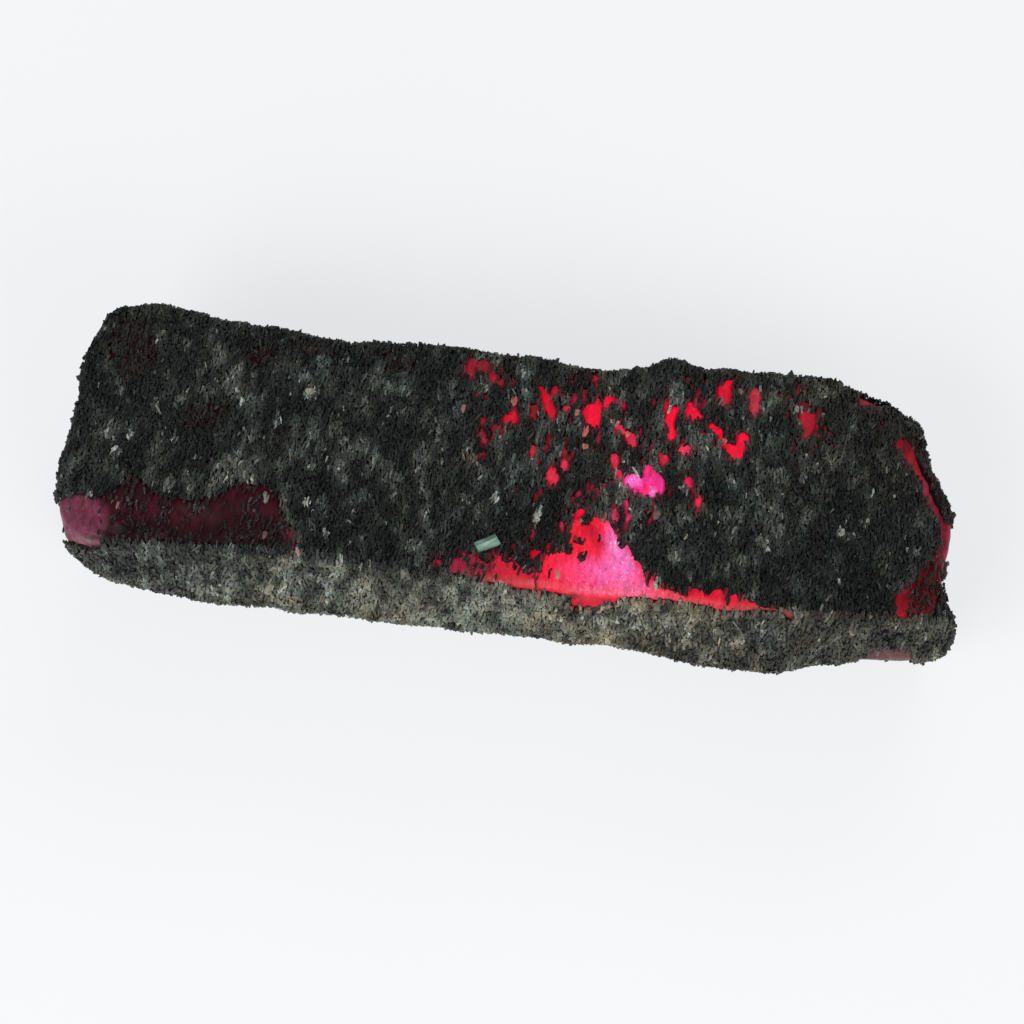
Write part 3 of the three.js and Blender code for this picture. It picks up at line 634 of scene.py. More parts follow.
def in_outline(q, outline):
    corners = np.array(outline)
    lo, hi = corners.min(axis=0) - 1, corners.max(axis=0) + 1
    near = ((q > lo) & (q < hi)).all(axis=1)
    out = np.full(len(q), -1.0)
    p = q[near]
    distance = np.full(len(p), 9.0)
    inside = np.zeros(len(p), bool)
    for a, b in zip(corners, np.roll(corners, -1, axis=0)):
        side = b - a
        t = np.clip(((p - a) @ side) / (side @ side), 0, 1)
        distance = np.minimum(distance, np.linalg.norm(p - a - t[:, None] * side, axis=1))
        crosses = (a[1] > p[:, 1]) != (b[1] > p[:, 1])
        with np.errstate(divide="ignore", invalid="ignore"):
            at = (b[0] - a[0]) * (p[:, 1] - a[1]) / (b[1] - a[1]) + a[0]
        inside ^= crosses & (p[:, 0] < at)
    out[near] = np.where(inside, distance, -np.minimum(distance, 1))
    return out


def in_ellipse(q, x, y, a, b, turn=0):
    t = math.radians(turn)
    d = q - np.array([x, y])
    along = d[:, 0] * math.cos(t) + d[:, 1] * math.sin(t)
    across = -d[:, 0] * math.sin(t) + d[:, 1] * math.cos(t)
    return (1 - np.hypot(along / a, across / b)) * min(a, b)


def seen(points, normals, least=0.08):
    """Which points face the place that the outlines were measured from."""
    return ((SIGHT - points) * normals).sum(axis=1) > least * DISTANCE


def ragged(points):
    """Noise for the windows' edges, drawn out round the crystal's girth as its grains are."""
    streaks = swell(points * [1, 0.34, 0.34], 0.25, 3)
    return 0.13 * streaks + 0.06 * swell(points * GIRTHWISE, 0.7, 4)


def windows_at(q):
    """For each small window: its light, and how deep in it each place in plan is."""
    for light, *ellipse in WINDOWS + SPECKS:
        yield light, in_ellipse(q, *ellipse)
    for light, outline in CUT_WINDOWS:
        yield light, in_outline(q, outline)


def other_window(points, normals, at, facing, half_widths):
    """How deep each point is in a window on a hidden side."""
    n = np.array(facing) / np.linalg.norm(facing)
    side = unit(np.cross([0, 0, 1] if abs(n[2]) < 0.9 else [0, 1, 0], n))
    d = points - np.array(at)
    flat = np.stack([d @ side, d @ np.cross(n, side)], axis=1)
    near = (normals @ n > OTHER_FACING) & (np.abs(d @ n) < OTHER_REACH)
    return np.where(near, in_ellipse(flat, 0, 0, *half_widths), -1)


def window_depth(points, normals):
    """How deep in a clear window and in a veiled window each point is."""
    q = plan(points)
    clear = np.full(len(q), -1.0)
    for light, value in windows_at(q):
        if light not in UNDER_VEIL:
            clear = np.maximum(clear, value)
    for outline in (GLOW, EDGE):
        clear = np.maximum(clear, in_outline(q, outline))
    clear = np.minimum(clear, -in_outline(q, BITE))
    for patch in BITES:
        clear = np.minimum(clear, -in_ellipse(q, *patch))
    veiled = in_outline(q, MAROON)
    for outline in SPOTS:
        veiled = np.maximum(veiled, in_outline(q, outline))
    front = seen(points, normals)
    clear = np.where(front, clear, -1)
    veiled = np.where(front, veiled, -1)
    rim = seen(points, normals, PAST_OUTLINE)
    for outline in (CORNER, STRIP, LOW_RIGHT):
        clear = np.maximum(clear, np.where(rim, in_outline(q, outline), -1))
    for window in OTHER_WINDOWS:
        clear = np.maximum(clear, other_window(points, normals, *window))
    edge = ragged(points)
    return np.maximum(clear + edge, -1), np.maximum(veiled + edge, -1)


# Grain shapes: each is a list of corners around the origin, of about unit half-size

def ring(count, width, height, turn=0.0):
    """Corners round the z axis, as a list."""
    angles = [2 * math.pi * k / count + turn for k in range(count)]
    return [(width * math.cos(a), width * math.sin(a), height) for a in angles]


def barrel(r):
    """An irregular pebble: two rings of four between two tips."""
    low, high = ring(4, 1, -0.45, math.pi / 4), ring(4, 1, 0.45, math.pi / 2)
    v = np.array([(0, 0, -1)] + low + high + [(0, 0, 1)]) + r.uniform(-0.22, 0.22, (10, 3))
    f = []
    for k in range(4):
        n = (k + 1) % 4
        f += [(0, 1 + n, 1 + k), (1 + k, 1 + n, 5 + k), (1 + n, 5 + n, 5 + k), (9, 5 + k, 5 + n)]
    return v[:, [2, 0, 1]], np.array(f)


def block(r):
    """A broken prism with eight corners."""
    v = np.array([(x, y, z) for x in (-1, 1) for y in (-0.8, 0.8) for z in (-0.8, 0.8)])
    v = v + r.uniform(-0.3, 0.3, (8, 3))
    v[:4, 1:] *= r.uniform(0.5, 1.0)
    quads = [(0, 1, 3, 2), (4, 6, 7, 5), (0, 4, 5, 1), (2, 3, 7, 6), (0, 2, 6, 4), (1, 5, 7, 3)]
    f = []
    for a, b, c, d in quads:
        f += [(a, b, c), (a, c, d)]
    return v, np.array(f)


def flake(r):
    """A six-sided plate of mica."""
    v = np.array(ring(6, 1, -0.5) + ring(6, 1, 0.5)) + r.uniform(-0.14, 0.14, (12, 3))
    f = [(0, 2, 1), (0, 3, 2), (0, 4, 3), (0, 5, 4), (6, 7, 8), (6, 8, 9), (6, 9, 10), (6, 10, 11)]
    for k in range(6):
        n = (k + 1) % 6
        f += [(k, n, 6 + n), (k, 6 + n, 6 + k)]
    return v, np.array(f)


def spike(r):
    """A broken point along x: a ring of five drawn out to a tip."""
    rings = np.array(ring(5, 1.0, -1.0) + ring(5, 0.75, 0.4))[:, [2, 0, 1]]
    v = np.vstack([rings, (1.0, 0.1, 0.0)]) + r.uniform(-0.16, 0.16, (11, 3))
    f = [(0, 2, 1), (0, 3, 2), (0, 4, 3)]
    for k in range(5):
        n = (k + 1) % 5
        f += [(k, n, 5 + n), (k, 5 + n, 5 + k), (5 + k, 5 + n, 10)]
    return v, np.array(f)


def outwards(v, f):
    """The triangles, turned round where they face inwards."""
    a, b, c = v[f[:, 0]], v[f[:, 1]], v[f[:, 2]]
    volume = (np.cross(a, b) * c).sum()
    return f if volume > 0 else f[:, ::-1]


def shapes(make, count):
    r = np.random.default_rng(11)
    made = [make(r) for _ in range(count)]
    return np.array([v for v, _ in made]), outwards(*made[0])


BLOCKS, BARRELS, FLAKES = shapes(block, 40), shapes(barrel, 40), shapes(flake, 24)
SPIKES = shapes(spike, 8)


def spread(v, f, n, choose, spacing):
    """Places spread over the chosen triangles, one to a square cell of that spacing."""
    a, b, c = v[f[:, 0]], v[f[:, 1]], v[f[:, 2]]
    areas = np.linalg.norm(np.cross(b - a, c - a), axis=1) / 2 * choose
    total = areas.sum()
    number = int(TRIES_A_CELL * total / spacing**2)
    t = rng.choice(len(f), number, p=areas / total)
    a, b = rng.random((2, number))
    over = a + b > 1
    a[over], b[over] = 1 - a[over], 1 - b[over]
    share = np.stack([1 - a - b, a, b], axis=1)[:, :, None]
    points = (v[f[t]] * share).sum(axis=1)
    normals = unit((n[f[t]] * share).sum(axis=1))
    axis = np.abs(normals).argmax(axis=1)
    side = normals[np.arange(number), axis] > 0
    cell = np.floor(points / spacing).astype(int)
    cell[np.arange(number), axis] = 0
    key = np.column_stack([axis * 2 + side, cell])
    _, first = np.unique(key, axis=0, return_index=True)
    first = np.sort(first)
    return points[first], normals[first]


def place_grains(shape, centres, normals, sizes, lean, turn):
    """Corners and triangles of one shape at many places. Its long axis lies round the crystal's girth."""
    library, f = shape
    count = len(centres)
    girth = np.cross(normals, np.array([1.0, 0, 0]))
    weak = np.linalg.norm(girth, axis=1) < 0.35
    girth[weak] = np.cross(normals[weak], np.array([0, 1.0, 0.3]))
    girth = unit(girth)
    across = np.cross(normals, girth)
    c, s = np.cos(turn)[:, None], np.sin(turn)[:, None]
    long_axis = girth * c + across * s
    side_axis = np.cross(normals, long_axis)
    tilt, roll = lean
    c, s = np.cos(tilt)[:, None], np.sin(tilt)[:, None]
    long_axis, up_axis = long_axis * c + normals * s, normals * c - long_axis * s
    c, s = np.cos(roll)[:, None], np.sin(roll)[:, None]
    side_axis, up_axis = side_axis * c + up_axis * s, up_axis * c - side_axis * s
    local = library[rng.integers(0, len(library), count)] * sizes[:, None, :]
    v = (
        centres[:, None, :]
        + local[:, :, 0:1] * long_axis[:, None, :]
        + local[:, :, 1:2] * side_axis[:, None, :]
        + local[:, :, 2:3] * up_axis[:, None, :]
    )
    corners = library.shape[1]
    faces = f[None] + (np.arange(count) * corners)[:, None, None]
    return v.reshape(-1, 3), faces.reshape(-1, 3), corners


# Materials

class Nodes:
    """A short way to wire a material's nodes."""

    def __init__(self, name):
        self.material = bpy.data.materials.new(name)
        self.material.use_nodes = True
        self.tree = self.material.node_tree
        self.shader = self.tree.nodes["Principled BSDF"]
        self.output = self.tree.nodes["Material Output"]

    def add(self, kind, inputs=None, **settings):
        node = self.tree.nodes.new(kind)
        for key, value in settings.items():
            setattr(node, key, value)
        for key, value in (inputs or {}).items():
            self.set(node.inputs[key], value)
        return node

    def set(self, socket, value):
        if isinstance(value, bpy.types.NodeSocket):
            self.tree.links.new(value, socket)
        else:
            socket.default_value = value

    def shade(self, inputs):
        for key, value in inputs.items():
            self.set(self.shader.inputs[key], value)

    def place(self):
        return self.add("ShaderNodeTexCoord").outputs["Object"]

    def attribute(self, name, output="Fac"):
        return self.add("ShaderNodeAttribute", attribute_name=name).outputs[output]

    def noise(self, scale, detail=2.0, stretch=(1, 1, 1)):
        spot = self.add("ShaderNodeMapping", {"Vector": self.place(), "Scale": stretch})
        return self.add(
            "ShaderNodeTexNoise", {"Vector": spot.outputs[0], "Scale": scale, "Detail": detail}
        ).outputs["Fac"]

    def ramp(self, factor, stops):
        node = self.add("ShaderNodeValToRGB", {"Fac": factor})
        elements = node.color_ramp.elements
        while len(elements) < len(stops):
            elements.new(0.5)
        for element, (at, colour) in zip(elements, stops):
            element.position = at
            element.color = (*colour, 1)
        return node.outputs["Color"]

    def mix(self, factor, a, b, blend="MIX"):
        node = self.add("ShaderNodeMix", data_type="RGBA", blend_type=blend)
        self.set(node.inputs["Factor"], factor)
        self.set(node.inputs["A"], a)
        self.set(node.inputs["B"], b)
        return node.outputs["Result"]

    def fit(self, value, low, high, between=(0.3, 0.7)):
        """Stretches a value from its range to low and high."""
        return self.add("ShaderNodeMapRange", {
            "Value": value, "From Min": between[0], "From Max": between[1], "To Min": low, "To Max": high,
        }).outputs["Result"]

    def bump(self, height, distance, strength=1.0):
        node = self.add("ShaderNodeBump", {"Height": height, "Distance": distance, "Strength": strength})
        self.set(self.shader.inputs["Normal"], node.outputs["Normal"])


def mica_material():
    m = Nodes("mica")
    dark = m.ramp(m.attribute("tone"), [
        (0.0, (0.004, 0.005, 0.0045)), (0.45, (0.015, 0.017, 0.0155)), (0.75, (0.04, 0.044, 0.04)),
        (0.92, (0.10, 0.105, 0.097)), (1.0, (0.36, 0.37, 0.345)),
    ])
    olive = m.ramp(m.attribute("tone"), [
        (0.0, (0.018, 0.018, 0.015)), (0.45, (0.122, 0.118, 0.096)), (0.75, (0.20, 0.195, 0.165)),
        (0.92, (0.29, 0.285, 0.25)), (1.0, (0.45, 0.44, 0.40)),
    ])
    # the front's paler olive is partly the crust's own colour and partly painted light falling on that face
    colour = m.mix(m.attribute("side"), dark, olive)
    hue = m.ramp(m.attribute("tint"), [
        (0.0, (0.88, 0.96, 1.14)), (0.22, (0.84, 1.05, 0.95)), (0.5, (0.98, 1.0, 0.97)),
        (0.8, (1.08, 1.02, 0.84)), (1.0, (1.3, 1.05, 0.6)),
    ])
    flecks = m.ramp(m.noise(5200, 2), [(0.35, (0.6, 0.6, 0.6)), (0.65, (1.35, 1.35, 1.35))])
    m.shade({
        "Base Color": m.mix(1.0, m.mix(1.0, colour, hue, "MULTIPLY"), flecks, "MULTIPLY"),
        "Roughness": m.fit(m.noise(3000, 2), 0.32, 0.7),
        "Specular IOR Level": 0.3,
        # painted red light: grains near the ruby's windows and along the pale line glow red by emission
        "Emission Color": (1, 0.03, 0.07, 1),
        "Emission Strength": m.attribute("blush"),
    })
    m.bump(m.noise(6500, 3, (1, 0.45, 1)), 0.00004, 0.7)
    return m.material


def ruby_material():
    m = Nodes("ruby")
    glow = m.attribute("glow", "Color")
    redder = m.mix(1.0, glow, (0.86, 0.3, 0.34, 1), "MULTIPLY")
    paler = m.mix(1.0, glow, (1.0, 3.2, 2.0, 1), "MULTIPLY")
    specks = m.fit(m.noise(4200, 3, (1.2, 0.7, 1)), 0.0, 0.85, (0.56, 0.66))
    painted_glints = m.fit(m.noise(5200, 2, (1.2, 0.6, 1)), 0.0, 1.0, (0.6, 0.72))
    m.shade({
        "Base Color": m.ramp(m.noise(1500, 4, (1.5, 0.6, 1)), [
            (0.35, (0.006, 0.0004, 0.0012)), (0.65, (0.026, 0.0012, 0.004)),
        ]),
        "Roughness": m.fit(m.noise(900, 3), 0.34, 0.6),
        "Transmission Weight": 0.15,
        "IOR": 1.76,
        "Specular IOR Level": 0.05,
        # emission: painted light standing in for the torch light through the ruby, with paler painted
        # glints
        "Emission Color": m.mix(painted_glints, m.mix(specks, glow, redder), paler),
        "Emission Strength": m.fit(m.noise(1600, 4, (1.5, 0.5, 1)), 0.66, 1.14),
    })
    m.bump(m.noise(2600, 4, (1.0, 0.4, 1.0)), 0.00006, 0.6)
    absorb = m.add("ShaderNodeVolumeAbsorption", {"Color": (0.9, 0.05, 0.15, 1), "Density": 900.0})
    m.set(m.output.inputs["Volume"], absorb.outputs["Volume"])
    return m.material


def lit_material():
    m = Nodes("lit_mineral")
    m.shade({
        "Base Color": m.ramp(m.noise(1900, 3), [(0.3, (0.03, 0.02, 0.017)), (0.7, (0.08, 0.055, 0.045))]),
        "Roughness": m.fit(m.noise(3000, 2), 0.35, 0.6),
        "Specular IOR Level": 0.3,
        # painted light: the red light through these grains is set as emission
        "Emission Color": m.attribute("glow", "Color"),
        "Emission Strength": m.fit(m.noise(3400, 4, (1.4, 0.5, 1)), 0.15, 0.95),
    })
    m.bump(m.noise(5000, 3), 0.00004, 0.6)
    return m.material


def green_material():
    m = Nodes("green_mineral")
    m.shade({
        "Base Color": m.ramp(m.noise(1300, 3, (0.5, 1, 1)), [
            (0.3, (0.06, 0.11, 0.085)), (0.55, (0.15, 0.26, 0.20)), (0.8, (0.28, 0.41, 0.34)),
        ]),
        "Roughness": m.fit(m.noise(2500, 2), 0.22, 0.45),
        "Specular IOR Level": 0.5,
    })
    m.bump(m.noise(3500, 2, (0.3, 1, 1)), 0.00003, 0.5)
    return m.material


# Painted light in the larger windows: the place in plan, half-widths, how soft, and the colour
GLOW_ZONES = [
    ((6.6, -8.9), (2.6, 1.9), 0.7, (1.0, 0.04, 0.13)),
    ((7.6, -8.7), (1.9, 1.7), 0.6, (1.0, 0.065, 0.22)),
    ((9.5, -8.4), (2.3, 1.6), 0.6, (1.0, 0.13, 0.42)),
    ((8.8, -5.2), (0.8, 1.8), 1.0, (0.98, 0.12, 0.4)),
    ((9.6, -6.9), (1.2, 1.7), 0.9, (1.0, 0.17, 0.54)),
    ((10.2, -7.7), (0.8, 1.3), 0.9, (1.0, 0.19, 0.56)),
    ((9.25, -6.0), (0.55, 0.9), 0.9, (1.0, 0.27, 0.62)),
    ((11.0, -9.5), (2.2, 0.9), 0.7, (1.0, 0.14, 0.36)),
    ((13.6, -9.9), (1.6, 0.5), 0.7, (0.88, 0.08, 0.14)),
    ((7.1, -5.0), (0.9, 0.9), 0.9, (0.62, 0.006, 0.03)),
    ((7.9, -6.1), (0.45, 0.5), 0.9, (0.66, 0.008, 0.05)),
    ((6.4, -10.9), (0.9, 0.35), 0.8, (0.36, 0.02, 0.03)),
    ((-2.8, -9.2), (3.6, 1.8), 0.7, (0.30, 0.012, 0.038)),
    ((11.38, 1.12), (0.55, 0.6), 0.6, (0.95, 0.02, 0.16)),
    ((10.15, 0.04), (0.7, 0.7), 0.8, (1.0, 0.17, 0.62)),
    ((11.8, -0.77), (0.35, 0.5), 0.8, (1.0, 0.2, 0.6)),
    ((11.26, -0.65), (0.4, 0.45), 0.8, (0.93, 0.018, 0.12)),
    ((-35.08, -9.13), (2.4, 2.6), 0.3, (0.145, 0.030, 0.062)),
    ((-33.96, -11.54), (2.2, 0.9), 0.5, (0.10, 0.018, 0.034)),
    ((-34.32, -10.95), (1.9, 0.35), 0.8, (0.25, 0.075, 0.12)),
    ((33.3, 5.0), (2.6, 2.8), 0.5, (0.26, 0.008, 0.018)),
    ((34.9, 2.2), (1.3, 1.9), 0.5, (0.24, 0.016, 0.03)),
    ((36.0, -1.7), (1.8, 3.4), 0.4, (0.19, 0.004, 0.02)),
    ((35.3, -7.3), (2.2, 3.4), 0.4, (0.075, 0.001, 0.004)),
    ((32.7, -8.9), (1.3, 2.2), 0.4, (0.27, 0.003, 0.012)),
    ((31.2, -13.5), (4.2, 2.2), 0.4, (0.115, 0.042, 0.045)),
]
VEILED_GLOW = (0.009, 0.0007, 0.0018)
LIT_GLOW = (0.95, 0.014, 0.045)
EDGE_GLOW = (0.72, 0.011, 0.035)
HIDDEN_GLOW = (0.05, 0.002, 0.006)
SALMON = (0.80, 0.08, 0.11)
SALMON_PINK = (1.0, 0.15, 0.29)
SALMON_FAINT = (0.24, 0.075, 0.062)


def glow_colours(points, normals):
    """The colour of the painted light that the ruby glows with at each point."""
    q = plan(points)
    front = seen(points, normals)
    out = np.tile(np.array(VEILED_GLOW), (len(q), 1))
    deepest = np.full(len(q), -0.6)
    streaks = 0.8 + 0.35 * swell(points * [1, 0.35, 0.35], 0.3, 14) + 0.3 * swell(points, 0.9, 15)
    for light, value in windows_at(q):
        if light in UNDER_VEIL:
            w = (smooth_step(-0.3, 0.35, value) * streaks)[:, None]
            out += np.clip(w, 0, 1) * (np.array(LIGHTS[light]) - out)
            continue
        here = value > deepest
        deepest[here] = value[here]
        fade = 0.35 + 0.65 * smooth_step(-0.12, 0.14, value[here])
        out[here] = np.array(LIGHTS[light]) * fade[:, None]
    for outline, colour in ((EDGE, EDGE_GLOW), (GLOW, LIT_GLOW)):
        out[in_outline(q, outline) > np.maximum(deepest, -0.3)] = colour
    wobble = 0.1 * swell(points * [1, 0.5, 0.5], 0.7, 8) + 0.08 * swell(points, 1.6, 9)
    for (x, y), (a, b), soft, colour in GLOW_ZONES:
        d = q - np.array([x, y])
        r = np.hypot(d[:, 0] / a, d[:, 1] / b) + wobble
        w = (1 - smooth_step(1 - soft, 1 + soft * 0.4, r)) * front
        out += w[:, None] * (np.array(colour) - out)
    worn = np.maximum(in_outline(q, CORNER), in_outline(q, STRIP)) > -0.3
    out[worn] *= np.clip(streaks[worn] + 0.15, 0.4, 1.3)[:, None]
    # the bare front edge, painted as glowing light, palest along its middle and fading towards its ends
    line = np.interp(q[:, 0], *np.array(EDGE_LINE).T)
    away = np.abs(q[:, 1] - line) + 0.08 * swell(points, 0.7, 12)
    across = (1 - smooth_step(0.05, 0.6, away)) * front * (0.8 + 0.3 * swell(points, 0.3, 13))
    full = smooth_step(-2.5, 5, q[:, 0]) * (1 - smooth_step(17.5, 21, q[:, 0]))
    pinker = (smooth_step(5, 7.5, q[:, 0]) * smooth_step(14, 11.5, q[:, 0]))[:, None]
    salmon = np.array(SALMON) + pinker * (np.array(SALMON_PINK) - SALMON)
    out += (0.85 * full * across)[:, None] * (salmon - out)
    faint = (1 - full) * across * ((q[:, 0] > -7) & (q[:, 0] < 30))
    out += 0.8 * faint[:, None] * (np.array(SALMON_FAINT) - out)
    out[~front] = HIDDEN_GLOW
    return out


# The pieces

def finish_piece(name, v, f, material, attributes=None, smooth=False):
    mesh = new_mesh(name, v * MM, f)
    for key, values in (attributes or {}).items():
        kind = "FLOAT_COLOR" if values.ndim == 2 else "FLOAT"
        layer = mesh.attributes.new(key, kind, "POINT")
        if kind == "FLOAT":
            layer.data.foreach_set("value", values.astype(np.float32))
        else:
            rgba = np.column_stack([values, np.ones(len(values))]).astype(np.float32)
            layer.data.foreach_set("color", rgba.ravel())
    mesh.polygons.foreach_set("use_smooth", np.full(len(f), smooth))
    mesh.materials.append(material)
    obj = new_object(name, mesh)
    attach(obj, "root")
    return obj


def on_ground(v):
    v[:, 2] = np.maximum(v[:, 2], 0)
    return v


def lumpy_surface():
    """The mean surface with low lumps on it: corners, triangles and normals."""
    v, f = outer_surface()
    lumps = 0.10 * swell(v, 1.6, 51) + 0.06 * swell(v, 0.8, 52)
    v = on_ground(v + normals_of(v, f) * lumps[:, None])
    return v, f, normals_of(v, f)


def make_crust(v, f, n):
    clear, veiled = window_depth(v, n)
    for _ in range(2):
        here = np.maximum(clear, veiled + 0.1)[f]
        v, f = refine(v, f, (here.max(axis=1) > -0.25) & (here.min(axis=1) < 0.2))
        n = normals_of(v, f)
        clear, veiled = window_depth(v, n)
    open_here = np.maximum(clear, veiled)
    depth = CRUST_DEPTH + 0.07 * swell(v, 0.5, 21) + CRUST_RIM * smooth_step(*WINDOW_EDGE, open_here)
    v = on_ground(v - n * depth[:, None])
    v, f = without_loose(v, f[open_here[f].min(axis=1) < CRUST_OPEN])
    front = on_front(v, normals_of(v, f))
    crust = finish_piece("crust_base", v, f, MICA, {
        "tone": 0.16 + 0.2 * front, "side": 0.8 * front * front_tone_and_light(v), "tint": np.full(len(v), 0.45),
        "blush": np.zeros(len(v)),
    })
    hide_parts("mica_crust")


def make_ruby(v, f, n):
    v = smoothed(v, f, RUBY_ROUNDS)
    n = normals_of(v, f)
    for width, deep in RUBY_REFINED:
        clear, veiled = window_depth(v, n)
        here = np.maximum(clear, veiled)[f]
        v, f = refine(v, f, (here.max(axis=1) > -width) & (here.min(axis=1) < deep))
        n = normals_of(v, f)
    clear, veiled = window_depth(v, n)
    here = np.maximum(clear, veiled - 0.02)
    depth = RUBY_DEPTH - (RUBY_DEPTH - RUBY_RIM) * smooth_step(*WINDOW_EDGE, here)
    depth += 0.03 * swell(v, 0.6, 31) * (here > -0.3)
    v = v - n * depth[:, None]
    v[:, 2] = np.maximum(v[:, 2], RUBY_FLOOR)
    ruby = finish_piece("ruby_body", v, f, RUBY, {"glow": glow_colours(v, n)}, smooth=True)
    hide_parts("ruby_crystal")


# How pale the grains are along the crystal: on its top, and on its front at the edge and at the foot. The
# front's paleness is partly the crust's colour and partly painted light on that face.
TONE_X = [-38, -30, -20, -10, 0, 10, 20, 26, 30, 38]
TONE_TOP = [0.35, 0.38, 0.43, 0.45, 0.43, 0.45, 0.43, 0.39, 0.33, 0.32]
SIDE_X = [-38, -33, -30, -26, -23, -16, -13, -7, 0, 6, 10, 13, 17, 20, 23, 26, 33, 38]
SIDE = [0.16, 0.2, 0.48, 0.24, 0.7, 0.66, 1, 1, 0.97, 1, 0.92, 0.66, 0.56, 0.5, 0.04, 0.24, 0.31, 0.3]
SLOPE_X = [-38, -12, 0, 10, 14, 38]
AT_EDGE = [0.62, 0.78, 0.92, 0.95, 1.2, 1.1]
# painted shade: the dip to 0.75 near x = 14 darkens the foot of the front where the undercut is in shade
FOOT_TONE_AND_SHADE = [1.15, 1.15, 1.1, 1.1, 0.75, 0.9]


def top_tone(points, front):
    x, y = points[:, 0], points[:, 1]
    darker = 0.36 * (1 - smooth_step(0.55, 1.2, np.hypot((x - 1.4) / 4.0, (y + 6.6) / 4.0)))  # by the glow
    darker += 0.12 * smooth_step(-6.5, -9.5, y) * (np.abs(x + 1) > 9)  # along the front edge
    darker += 0.12 * smooth_step(23, 28, x) * smooth_step(6, 0, y)  # at the right end
    darker += 0.06 * smooth_step(6, 9.5, y) * (x < -15)  # at the back, on the left
    paler = 0.015 * y * smooth_step(2, 14, x) * smooth_step(28, 21, x)  # at the back, on the right
    return np.interp(x, TONE_X, TONE_TOP) + (paler - darker) * (1 - front)


# The front's paleness: partly crust colour, partly painted light; painted shade at the foot near x = 14
def front_tone_and_light(points):
    x, down = points[:, 0], np.clip((13.5 - points[:, 2]) / 7.5, 0, 1)
    edge, foot = np.interp(x, SLOPE_X, AT_EDGE), np.interp(x, SLOPE_X, FOOT_TONE_AND_SHADE)
    return np.interp(x, SIDE_X, SIDE) * (edge + (foot - edge) * down)


def on_front(points, normals):
    """How far each point lies on the front face, from 0 to 1."""
    q = plan(points)
    below = np.interp(q[:, 0], *np.array(EDGE_LINE).T) - q[:, 1]
    hidden = smooth_step(0.45, 0.75, -normals[:, 1]) * smooth_step(3, 6, points[:, 2])
    shown = smooth_step(-0.1, 0.3, below) * smooth_step(1.5, 4, points[:, 2])
    return np.where(seen(points, normals) & (normals[:, 1] < 0), shown, hidden)


def keeps_grain(points, normals, clear, veiled):
    """Which places have a grain: all under whole crust, and some in the veiled windows."""
    q, count = plan(points), len(points)
    worn = (in_outline(q, CORNER) > 0) & (normals[:, 2] > 0.3) & (rng.random(count) < 0.03)
    low_strip = (in_outline(q, STRIP) > 0) & (q[:, 1] < -4) & (q[:, 0] > 33.3) & (normals[:, 2] > 0.2)
    worn |= low_strip & (rng.random(count) < 0.3)
    haze = (in_outline(q, EDGE) > -0.1) & (q[:, 0] < 3.4) & (q[:, 0] > -4.5)
    stays = rng.random(count) + 0.45 * swell(points * GIRTHWISE, 0.8, 41)
    left = np.where(points[:, 1] > THIN_VEIL_Y, 0.85, 0.27)
    return ((clear < -0.06) & ((veiled < -0.02) | (stays < left))) | (haze & (stays < 0.22)) | worn


def grain_looks(points, normals, veil):
    """Each grain's tone, its share of the front's colour (partly painted light on that face), its tint, and
    how near the pale line it is.
    """
    q, count = plan(points), len(points)
    across = points * GIRTHWISE
    broad, middle, fine = swell(points, 3.4, 42), swell(across, 1.3, 45), swell(across, 0.6, 43)
    front = on_front(points, normals)
    patch = 0.2 * broad + (0.42 - 0.12 * front) * middle + 0.5 * fine
    tone = np.minimum(top_tone(points, front) - 0.02 + patch, 0.85) + 0.06 * rng.standard_normal(count)
    pale = rng.random(count)
    tone = np.where(pale < 0.05, np.minimum(tone + rng.uniform(0.15, 0.4, count), 0.93), tone)
    tone = np.where(pale < 0.008, rng.uniform(0.88, 0.97, count), tone)
    in_glow = in_outline(q, GLOW) > -0.05
    over_veil = np.where(points[:, 1] > THIN_VEIL_Y, 0.55, 0.35)
    tone = np.clip(tone, 0, 1) * np.where(veil, over_veil, np.where(in_glow, 0.2, 1))
    from_line = np.abs(q[:, 1] - np.interp(q[:, 0], *np.array(EDGE_LINE).T))
    pale_line = (1 - smooth_step(0.05, 0.3, from_line)) * ((q[:, 0] > 22) & (q[:, 0] < 33))
    side = np.clip(front * front_tone_and_light(points) * (1 + 0.9 * (patch - 0.15 * broad)), 0, 1)
    for x, y, a, b, pale_tone, _ in PALE_GRAINS:
        near = np.hypot((q[:, 0] - x) / a, (q[:, 1] - y) / b) < 1.3
        tone[near] = pale_tone - 0.03 + 0.1 * rng.standard_normal(near.sum())
    warm = 0.22 * front * smooth_step(2, 5, points[:, 0])
    green = smooth_step(20, 27, points[:, 0]) * smooth_step(-2, 4, points[:, 1])
    hue = 0.42 + 0.28 * swell(points, 2.8, 44) + 0.3 * green
    tint = np.clip(hue + rng.normal(0, 0.16, count) + warm, 0, 0.95)
    return tone, np.maximum(side, 0.75 * pale_line), tint, pale_line


